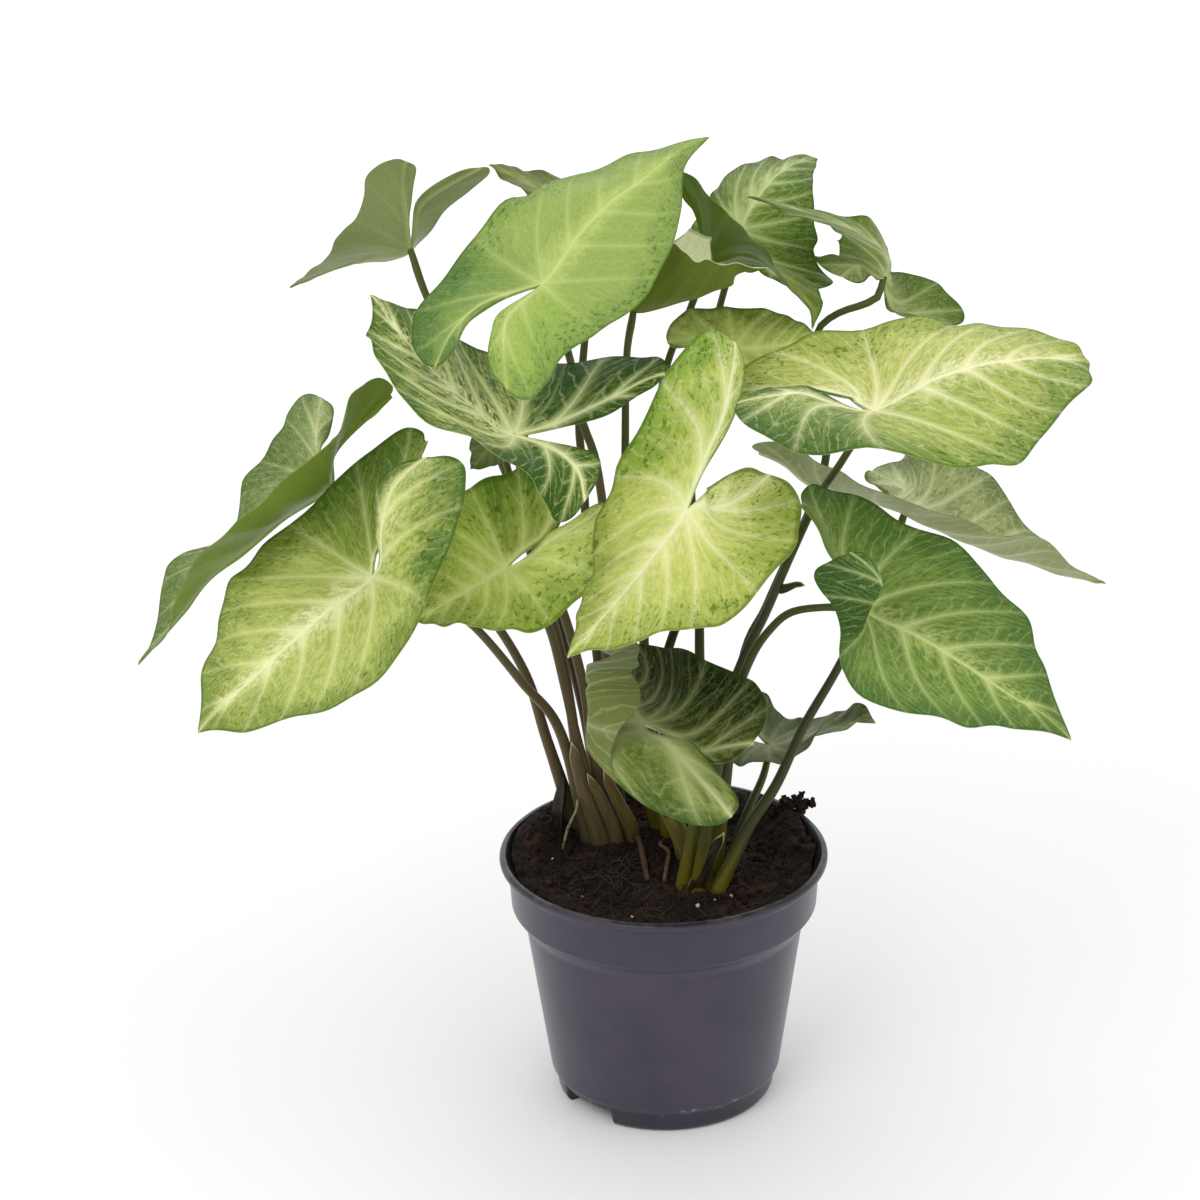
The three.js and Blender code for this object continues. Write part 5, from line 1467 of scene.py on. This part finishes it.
POT_INSIDE = [
    (RIM_RADIUS - 2.2, POT_HEIGHT), (COLLAR_RADIUS - WALL, POT_HEIGHT - LIP_HEIGHT - 1),
    (COLLAR_RADIUS - WALL - 0.4, COLLAR_FOOT + 5), (BODY_TOP_RADIUS - WALL, COLLAR_FOOT + 0.8),
    (BODY_BOTTOM_RADIUS - WALL, FOOT_HEIGHT + WALL), (FOOT_RADIUS - WALL - 0.6, DRAIN_RAISE + WALL),
    (BOSS_RADIUS + 1, DRAIN_RAISE + WALL), (BOSS_RADIUS - 1.6, WALL), (0, WALL),
]
outside, inside = rounded(POT_OUTSIDE, MOULD_ROUNDING), rounded(POT_INSIDE, MOULD_ROUNDING)
print("profile points:", len(outside), "outside,", len(inside), "inside")

# %% [markdown]
# ## Material: moulded polypropylene
#
# The plastic is satin, with the IOR of polypropylene, 1.49, and a slate colour that is a little
# cloudy. It has painted shade inside, on the top of the lip and on the foot ring, and a painted
# highlight along the rim: a faint pale line that comes and goes. Where the pot is handled, the lower
# edge of the body has pale scuffs. Dust sits on it in specks well under a millimetre across.

# %% Slate polypropylene
# Bands by height in metres: how far from a height the mark still shows, and how strong it is.
SCUFF_HEIGHT, SCUFF_FADE = 0.0085, (0.0005, 0.0028, 1.0, 0.0)
# The rim band paints a faint highlight along the top of the rim.
RIM_HIGHLIGHT_FADE = (0.0002, 0.0011, 0.2, 0.0)
# The foot fade paints shade on the foot ring, under the body.
FOOT_SHADE_FADE = (0.0065, 0.0098, 0.55, 0.0)
# Noises: lumps to a metre, detail and roughness, and the fade that cuts them into patches.
SCUFF_PATCHES = ((60.0, 2.0, 0.6), (0.62, 0.52, 1.0, 0.0))
SCRATCHES = ((420.0, 3.0, 0.7), (0.60, 0.55, 1.0, 0.0))
RIM_HIGHLIGHT_PATCHES = ((80.0, 4.0, 0.6), (0.62, 0.40, 1.0, 0.0))
DUST = ((700.0, 2.0, 0.6), (0.78, 0.74, 0.5, 0.0))
POT_CLOUD, POT_CLOUD_FADE = (30.0, 3.0, 0.6), (0.65, 0.35, 1.0, 0.0)
SATIN_LEAST, SATIN_SWING, SCUFFED = 0.24, 0.12, 0.8


def patches(tree, place, pattern):
    """A noise cut into soft patches."""
    grain, fade = pattern
    return add(tree, "MapRange", add(tree, "TexNoise", place, *grain), *fade)


def height_band(tree, height, middle, fade):
    """A level band about a height, soft at its edges."""
    off = add(tree, "Math", height, middle, operation="SUBTRACT")
    return add(tree, "MapRange", add(tree, "Math", off, operation="ABSOLUTE"), *fade)


def pot_material():
    material, tree, shader = new_material("moulded slate polypropylene", IOR=1.49, Specular_IOR_Level=0.32)
    place = add(tree, "NewGeometry", out="Position")
    height = add(tree, "SeparateXYZ", place, out="Z")
    cloud = add(tree, "TexNoise", place, *POT_CLOUD)
    clouded = add(tree, "MapRange", cloud, *POT_CLOUD_FADE)
    colour = add(tree, "Mix", clouded, linear("3b3644"), linear("433d4c"))
    # Painted shade: the inner wall, and partly the top of the lip, is darkened towards near black.
    inner = add(tree, "Attribute", attribute_name="inside", out="Fac")
    colour = add(tree, "Mix", inner, colour, linear("17151a"))
    scuffs = add(tree, "Math", height_band(tree, height, SCUFF_HEIGHT, SCUFF_FADE),
                 patches(tree, place, SCUFF_PATCHES), operation="MULTIPLY")
    scuffs = add(tree, "Math", scuffs, patches(tree, place, SCRATCHES), operation="MULTIPLY")
    scuffs = add(tree, "Math", scuffs, SCUFFED, operation="MULTIPLY")
    colour = add(tree, "Mix", scuffs, colour, linear("a9a6a8"))
    # Painted shade: the foot ring, under the body, is darkened towards 262628.
    colour = add(tree, "Mix", add(tree, "MapRange", height, *FOOT_SHADE_FADE), colour, linear("262628"))
    # Painted highlight: a faint pale line along the top of the rim, in patches.
    rim_highlight = add(tree, "Math", height_band(tree, height, POT_HEIGHT * MM, RIM_HIGHLIGHT_FADE),
                 patches(tree, place, RIM_HIGHLIGHT_PATCHES), operation="MULTIPLY")
    colour = add(tree, "Mix", rim_highlight, colour, linear("a09c9c"))
    colour = add(tree, "Mix", patches(tree, place, DUST), colour, linear("7f7c86"))
    tree.links.new(colour, shader.inputs["Base Color"])
    swing = add(tree, "Math", cloud, SATIN_SWING, operation="MULTIPLY")
    tree.links.new(add(tree, "Math", SATIN_LEAST, swing, operation="ADD"), shader.inputs["Roughness"])
    return material


pot_plastic = pot_material()
print("material:", pot_plastic.name)

# %% [markdown]
# ## Moulding the pot
#
# The profile is turned in fine steps. The two drain notches lift the points of the foot ring, so
# their roofs slope as the mould's do. What is inside is stored on the points, because painted shade
# darkens the inner wall, and the top of the lip goes halfway over to it.

# %% Turn and notch the pot
NOTCH_ANGLES = [math.radians(angle) for angle in (222, 42)]
NOTCH_WIDTH, NOTCH_HEIGHT = 24, 6
DRAIN_HOLES, DRAIN_HOLE_RADIUS = 6, 4.2
DRAIN_RING, DRILL_TOP, DRILL_SEGMENTS = (BOSS_RADIUS + FOOT_RADIUS) / 2 - 1, 9, 32
NOTCH_SIDE_SLOPE, NOTCH_ROOF_SLOPE = 0.7, 1.1
LIP_SHADE, LIP_SHADE_DEPTH = 0.75, 1.2
POT_CREASE = math.radians(50)

points, faces = lathe(outside + inside, POT_SEGMENTS)
reach = np.hypot(points[:, 0], points[:, 1])
angle = np.arctan2(points[:, 1], points[:, 0])
inner_count = sum(radius > 1e-6 for radius, height in inside) * POT_SEGMENTS + 1
is_outer = np.arange(len(points)) < len(points) - inner_count
for notch in NOTCH_ANGLES:
    off = np.abs((angle - notch + math.pi) % (2 * math.pi) - math.pi) * FOOT_RADIUS
    open_part = np.clip((NOTCH_WIDTH / 2 - off) / NOTCH_SIDE_SLOPE, 0, 1)
    sloped = DRAIN_RAISE + NOTCH_ROOF_SLOPE * (reach - FOOT_RADIUS + 2.1)
    roof = np.clip(sloped, DRAIN_RAISE, NOTCH_HEIGHT) * open_part
    at_foot = is_outer & (reach > FOOT_RADIUS - 4.3) & (points[:, 2] < NOTCH_HEIGHT)
    points[:, 2] = np.where(at_foot, np.maximum(points[:, 2], roof), points[:, 2])
pot = make_piece("moulded_pot", points, faces, pot_plastic, ["pot"])
pot.data.set_sharp_from_angle(angle=POT_CREASE)
# Painted shade inside the pot: full on the inner wall, up to three quarters on the top of the lip.
lip_shade = np.clip(points[:, 2] - POT_HEIGHT + LIP_SHADE_DEPTH, 0, LIP_SHADE)
store(pot, "inside", np.where(is_outer, lip_shade, 1.0))
print("pot before drilling:", len(faces), "faces")

# %% [markdown]
# ### Drain holes
#
# Holes through a wall are easiest to cut. Six drills in one object take them out with a Boolean
# modifier, whose result is kept as the pot's mesh.

# %% Drill the drain holes
drill_points, drill_faces = lathe([(0, -1), (DRAIN_HOLE_RADIUS, -1), (DRAIN_HOLE_RADIUS, DRILL_TOP),
                                   (0, DRILL_TOP)], DRILL_SEGMENTS)
drills = bpy.data.meshes.new("drills")
points, faces = [], []
for hole in range(DRAIN_HOLES):
    turn = 2 * math.pi * hole / DRAIN_HOLES
    points.append(drill_points + (DRAIN_RING * math.cos(turn), DRAIN_RING * math.sin(turn), 0))
    faces += [[corner + hole * len(drill_points) for corner in face] for face in drill_faces]
drills.from_pydata((np.vstack(points) * MM).tolist(), [], faces)
drill = bpy.data.objects.new("drills", drills)
bpy.context.scene.collection.objects.link(drill)
cut = pot.modifiers.new("drain holes", "BOOLEAN")
cut.object = drill
cut.operation = "DIFFERENCE"
bpy.context.view_layer.update()
drilled = bpy.data.meshes.new_from_object(pot.evaluated_get(bpy.context.evaluated_depsgraph_get()))
pot.modifiers.clear()
pot.data = drilled
bpy.data.objects.remove(drill)
print("pot:", len(pot.data.polygons), "faces")

# %% [markdown]
# ## Peat
#
# The surface of the potful is heaped at the back, banked up against the wall and roughened by two
# layers of noise, whose lumps are ten and two and a half millimetres across. One function gives its
# height anywhere, because all that lies on the peat needs that too.

# %% The height of the peat
SOIL_EDGE, SOIL_HEAP, HEAP_SPREAD, HEAP_PLACE = 84, 6, 38, (-6, 22)
BANK_START, BANK_END, BANK_HEIGHT = 36, 53, 5.5
BACK_START, BACK_END, BACK_HEIGHT = -8, 30, 4.3
CLODS = (2.2, 0.10, 1.0, 4)
LUMPS = (1.0, 0.42, 0.9, 3)
LACUNARITY = 2.1


def ease(value, start, end):
    """0 before start, 1 after end, smooth between."""
    part = np.clip((value - start) / (end - start), 0, 1)
    return part * part * (3 - 2 * part)


def soil_height(x, y):
    """The height of the peat's surface over a point of the pot, in millimetres."""
    off_heap = (x - HEAP_PLACE[0]) ** 2 + (y - HEAP_PLACE[1]) ** 2
    heap = SOIL_HEAP * math.exp(-off_heap / (2 * HEAP_SPREAD ** 2))
    bank_height = BANK_HEIGHT + BACK_HEIGHT * ease(y, BACK_START, BACK_END)
    bank = bank_height * ease(math.hypot(x, y), BANK_START, BANK_END)
    rough = 0
    for height, pitch, dimension, octaves in (CLODS, LUMPS):
        rough += height * noise.fractal(Vector((x, y, 0)) * pitch, dimension, LACUNARITY, octaves)
    return SOIL_EDGE + heap + bank + rough


print("peat at the middle of the pot:", round(soil_height(0, 0), 1), "mm")

# %% [markdown]
# ### Material: damp fibrous peat
#
# Potting peat is matt, and almost black when damp, with rusty patches of fibre. Its grain is a
# millimetre and a half across and pits the surface too.

# %% Peat
PEAT_GRAIN, DARK_PEAT_FADE = (700.0, 4.0, 0.6), (0.65, 0.4, 1.0, 0.0)
PEAT_PATCHES, RUSTY_FADE = (90.0, 4.0, 0.65), (0.66, 0.52, 0.85, 0.0)
PEAT_PITS = (0.8, 0.0008)


def soil_material():
    material, tree, shader = new_material("damp fibrous peat", Roughness=0.92, IOR=1.4)
    place = add(tree, "NewGeometry", out="Position")
    grain = add(tree, "TexNoise", place, *PEAT_GRAIN)
    patch = add(tree, "TexNoise", place, *PEAT_PATCHES)
    dark = add(tree, "MapRange", grain, *DARK_PEAT_FADE)
    colour = add(tree, "Mix", dark, linear("110a07"), linear("2a1a13"))
    rusty = add(tree, "MapRange", patch, *RUSTY_FADE)
    colour = add(tree, "Mix", rusty, colour, linear("46291d"))
    tree.links.new(colour, shader.inputs["Base Color"])
    tree.links.new(add(tree, "Bump", grain, *PEAT_PITS), shader.inputs["Normal"])
    return material


damp_peat = soil_material()
print("material:", damp_peat.name)

# %% [markdown]
# ### Filling the pot
#
# The potful is turned on the lathe like the pot, and keeps a little clear of the wall down to the
# floor. Then its surface is lifted to its height, and where it is banked up above the shoulder of the
# wall it also spreads outward.

# %% Fill the pot
SOIL_RADIUS, SOIL_FLOOR, SOIL_GAP = COLLAR_RADIUS - WALL - 0.5, 6.2, 0.6
SOIL_RINGS, SOIL_SEGMENTS = 110, 320
LIP_START, LIP_MOST, LIP_SHOULDER, LIP_SLOPE = 48, 3, 91.3, 0.6
top = [(SOIL_RADIUS * math.sqrt(ring / SOIL_RINGS), 0) for ring in range(SOIL_RINGS, -1, -1)]
low = [(0, SOIL_FLOOR), (FOOT_RADIUS - 3, SOIL_FLOOR),
       (BODY_BOTTOM_RADIUS - WALL - SOIL_GAP, FOOT_HEIGHT + 2),
       (BODY_TOP_RADIUS - WALL - SOIL_GAP, COLLAR_FOOT - 1), (SOIL_RADIUS - SOIL_GAP, COLLAR_FOOT + 7)]
points, faces = lathe(low + top, SOIL_SEGMENTS)
for point in points[1 + (len(low) - 1) * SOIL_SEGMENTS:]:
    point[2] = soil_height(point[0], point[1])
    over_lip = np.clip(point[2] - LIP_SHOULDER, 0, LIP_MOST)
    out = ease(math.hypot(point[0], point[1]), LIP_START, SOIL_RADIUS) * over_lip
    point[:2] *= 1 + LIP_SLOPE * out / SOIL_RADIUS
make_piece("peat", points, faces, damp_peat, ["soil"])
print("peat:", len(faces), "faces, top", round(points[:, 2].max(), 1), "mm")

# %% [markdown]
# ## Crumbs and the lump on the rim
#
# Loose crumbs lie on the peat, most of them small. Each is a little ball pushed out of round by
# noise, and all of them are one mesh, so nothing is only painted on. A spill of bigger ones makes
# the lump that lies over the rim at the back right. One seeded set of dice throws everything, so
# the scatter is the same each time.

# %% Crumbs
dice = np.random.default_rng(11)
FULL_TURN, FAR_AWAY = 6.3, 90
CRUMB_SQUASH, CRUMB_LUMPS = (0.6, 1.1), 1.4
CRUMBS, CRUMB_LEAST, CRUMB_SPREAD, CRUMB_MARGIN = 900, 0.5, 1.7, 1.5
LUMP_PLACE, LUMP_SPREAD, LUMP_CRUMBS, LUMP_SIZES = (49.5, 31, 98), (3.0, 2.0, 1.1), 46, (0.8, 2.0)
ball, ball_faces = lathe([(math.sin(a), -math.cos(a)) for a in np.linspace(0, math.pi, 7)], 9)
ball = np.where(np.abs(ball) < 1e-9, 0, ball)


def crumb(size, lumpy):
    """One irregular crumb about the origin, as points; its faces are the ball's."""
    shape = ball * dice.uniform(*CRUMB_SQUASH, 3) * size
    offset = Vector(dice.uniform(-FAR_AWAY, FAR_AWAY, 3))
    swell = [1 + lumpy * noise.noise(Vector(point) * CRUMB_LUMPS + offset) for point in ball]
    turn = np.array(Matrix.Rotation(dice.uniform(0, FULL_TURN), 3, Vector(dice.normal(size=3))))
    return (shape * np.array(swell)[:, None]) @ turn


def join_crumbs(name, places, sizes, material, lumpy=0.8, replaces=()):
    points = [crumb(size, lumpy) + place for place, size in zip(places, sizes)]
    faces = []
    for number in range(len(places)):
        faces += [[corner + number * len(ball) for corner in face] for face in ball_faces]
    return make_piece(name, np.vstack(points), faces, material, replaces)


def on_soil(radius_limit):
    """A place on the peat, anywhere within a radius."""
    while True:
        x, y = dice.uniform(-radius_limit, radius_limit, 2)
        if math.hypot(x, y) < radius_limit:
            return np.array([x, y, soil_height(x, y)])


sizes = CRUMB_LEAST + CRUMB_SPREAD * dice.random(CRUMBS) ** 3
places = [on_soil(SOIL_RADIUS - CRUMB_MARGIN) for size in sizes]
join_crumbs("peat_crumbs", places, sizes, damp_peat)
around = dice.normal(size=(LUMP_CRUMBS, 3)) * LUMP_SPREAD + LUMP_PLACE
lump_sizes = dice.uniform(*LUMP_SIZES, LUMP_CRUMBS)
join_crumbs("rim_lump", around, lump_sizes, damp_peat, 1.0, ["peat_lump"])
print("crumbs:", CRUMBS, "and", LUMP_CRUMBS, "in the lump on the rim")

# %% [markdown]
# ## Fine roots and fibres
#
# Peat is full of short, rusty fibres, and the plant's own fine roots show as a tangle in front of the
# left crown. Both are thin tubes that wander over the surface. They are up to half a millimetre thick
# and thin out to their ends, and being dry they are dull.

# %% Fine roots and fibres
FIBRE_STEPS, FIBRE_SIDES = 10, 5
TANGLE_CENTRE, TANGLE_SPREAD = np.array([-22, -12]), np.array([9, 13])
TANGLE_THREADS, TANGLE_MARGIN = 46, 8
PEAT_FIBRES, FIBRE_REACH = 150, 44
# How each kind lies: its lengths, its half thicknesses, how it turns, how far it lifts off the peat.
FINE_ROOT = dict(lengths=(6, 17), radii=(0.14, 0.3), curl=0.45, lift=0.9)
FIBRE = dict(lengths=(3, 11), radii=(0.12, 0.28), curl=0.3, lift=0.4)


def fibre(start, lengths, radii, curl, lift):
    """A thin wandering tube that follows the ground from its start."""
    heading, length, radius = dice.uniform(0, FULL_TURN), dice.uniform(*lengths), dice.uniform(*radii)
    places = [np.array(start, float)]
    for step in range(FIBRE_STEPS):
        heading += dice.normal() * curl
        x, y = places[-1][:2] + np.array([math.cos(heading), math.sin(heading)]) * length / FIBRE_STEPS
        places.append(np.array([x, y, soil_height(x, y) + lift * (0.6 + dice.random())]))
    thin = radius * np.linspace(1, 0.5, FIBRE_STEPS * 2)
    return tube_parts(smooth_path(places, FIBRE_STEPS * 2), thin, FIBRE_SIDES)


def join_tubes(name, tubes, material):
    points, faces = [], []
    for tube_points, tube_faces in tubes:
        faces += [[corner + len(points) for corner in face] for face in tube_faces]
        points += tube_points
    return make_piece(name, points, faces, material)


tangle = []
for _ in range(TANGLE_THREADS):
    x, y = TANGLE_CENTRE + dice.normal(size=2) * TANGLE_SPREAD
    if math.hypot(x, y) < SOIL_RADIUS - TANGLE_MARGIN:
        tangle.append(fibre((x, y, soil_height(x, y)), **FINE_ROOT))
fine_root = new_material("pale fine root", Base_Color=linear("362c21"), Roughness=0.7)[0]
join_tubes("fine_roots", tangle, fine_root)
fibres = [fibre(on_soil(FIBRE_REACH), **FIBRE) for _ in range(PEAT_FIBRES)]
rusty_fibre = new_material("rusty peat fibre", Base_Color=linear("3e2a1e"), Roughness=0.8)[0]
join_tubes("peat_fibres", fibres, rusty_fibre)
print("fine roots:", len(tangle), "fibres:", len(fibres))

# %% [markdown]
# ## Pale grains
#
# Growers mix a little perlite into the peat: white grains of puffed volcanic glass, matt and about a
# millimetre across. A few have come to the top.

# %% Pale grains
GRAIN_PLACES = [(17.9, -25.3), (11.7, -28.2), (-24.3, 19.6), (-40.6, 7.1), (-12, -33), (24, -22),
                (-30, -20)]
GRAIN_SIZES, GRAIN_LIFT = (0.45, 0.9), 0.5
pale_grain = new_material("pale puffed mineral grain", Base_Color=linear("cfc9bb"), Roughness=0.8)[0]
grains = [np.array([x, y, soil_height(x, y) + GRAIN_LIFT]) for x, y in GRAIN_PLACES]
join_crumbs("pale_grains", grains, dice.uniform(*GRAIN_SIZES, len(grains)), pale_grain, 0.5)
print("grains:", len(grains))

# %% [markdown]
# ## Studio
#
# The plant stands on a pale floor that runs on behind it, under an even white sky. The floor is
# painted matt, so nothing glints in it. Two large lamps in front give the leaves their soft form and
# leave a faint shade round the pot, and a third lights the floor behind.

# %% Floor and light
FLOOR_SIZE = 60.0
SKY_STRENGTH = 0.92
LAMPS = {
    "key lamp": dict(place=(-0.7, -1.2, 1.4), size=0.9, watts=7, aim=(0, 0, 0.2)),
    "fill lamp": dict(place=(1.3, -0.6, 1.2), size=1.2, watts=2, aim=(0, 0, 0.2)),
    "backdrop lamp": dict(place=(0, 2.0, 1.5), size=2.0, watts=12, aim=(0, 2.2, 0)),
}

floor_paint = new_material("pale matt studio floor", Base_Color=linear("fafafa"), Roughness=0.95,
                           Specular_IOR_Level=0.0)[0]
edge = FLOOR_SIZE / 2
floor_mesh = bpy.data.meshes.new("floor")
floor_mesh.from_pydata([(-edge, -edge, 0), (edge, -edge, 0), (edge, edge, 0), (-edge, edge, 0)], [],
                       [(0, 1, 2, 3)])
floor = bpy.data.objects.new("floor", floor_mesh)
floor_mesh.materials.append(floor_paint)
bpy.context.scene.collection.objects.link(floor)

world = bpy.data.worlds.new("white studio")
world.use_nodes = True
sky = world.node_tree.nodes["Background"]
sky.inputs["Color"].default_value = (1, 1, 1, 1)
sky.inputs["Strength"].default_value = SKY_STRENGTH
bpy.context.scene.world = world
bpy.context.scene.view_settings.view_transform = "Standard"

for name, lamp in LAMPS.items():
    light = bpy.data.objects.new(name, bpy.data.lights.new(name, "AREA"))
    light.data.size = lamp["size"]
    light.data.energy = lamp["watts"]
    light.location = lamp["place"]
    light.rotation_euler = (Vector(lamp["aim"]) - light.location).to_track_quat("-Z", "Y").to_euler()
    bpy.context.scene.collection.objects.link(light)
print("lamps:", len(LAMPS), "sky strength", SKY_STRENGTH)
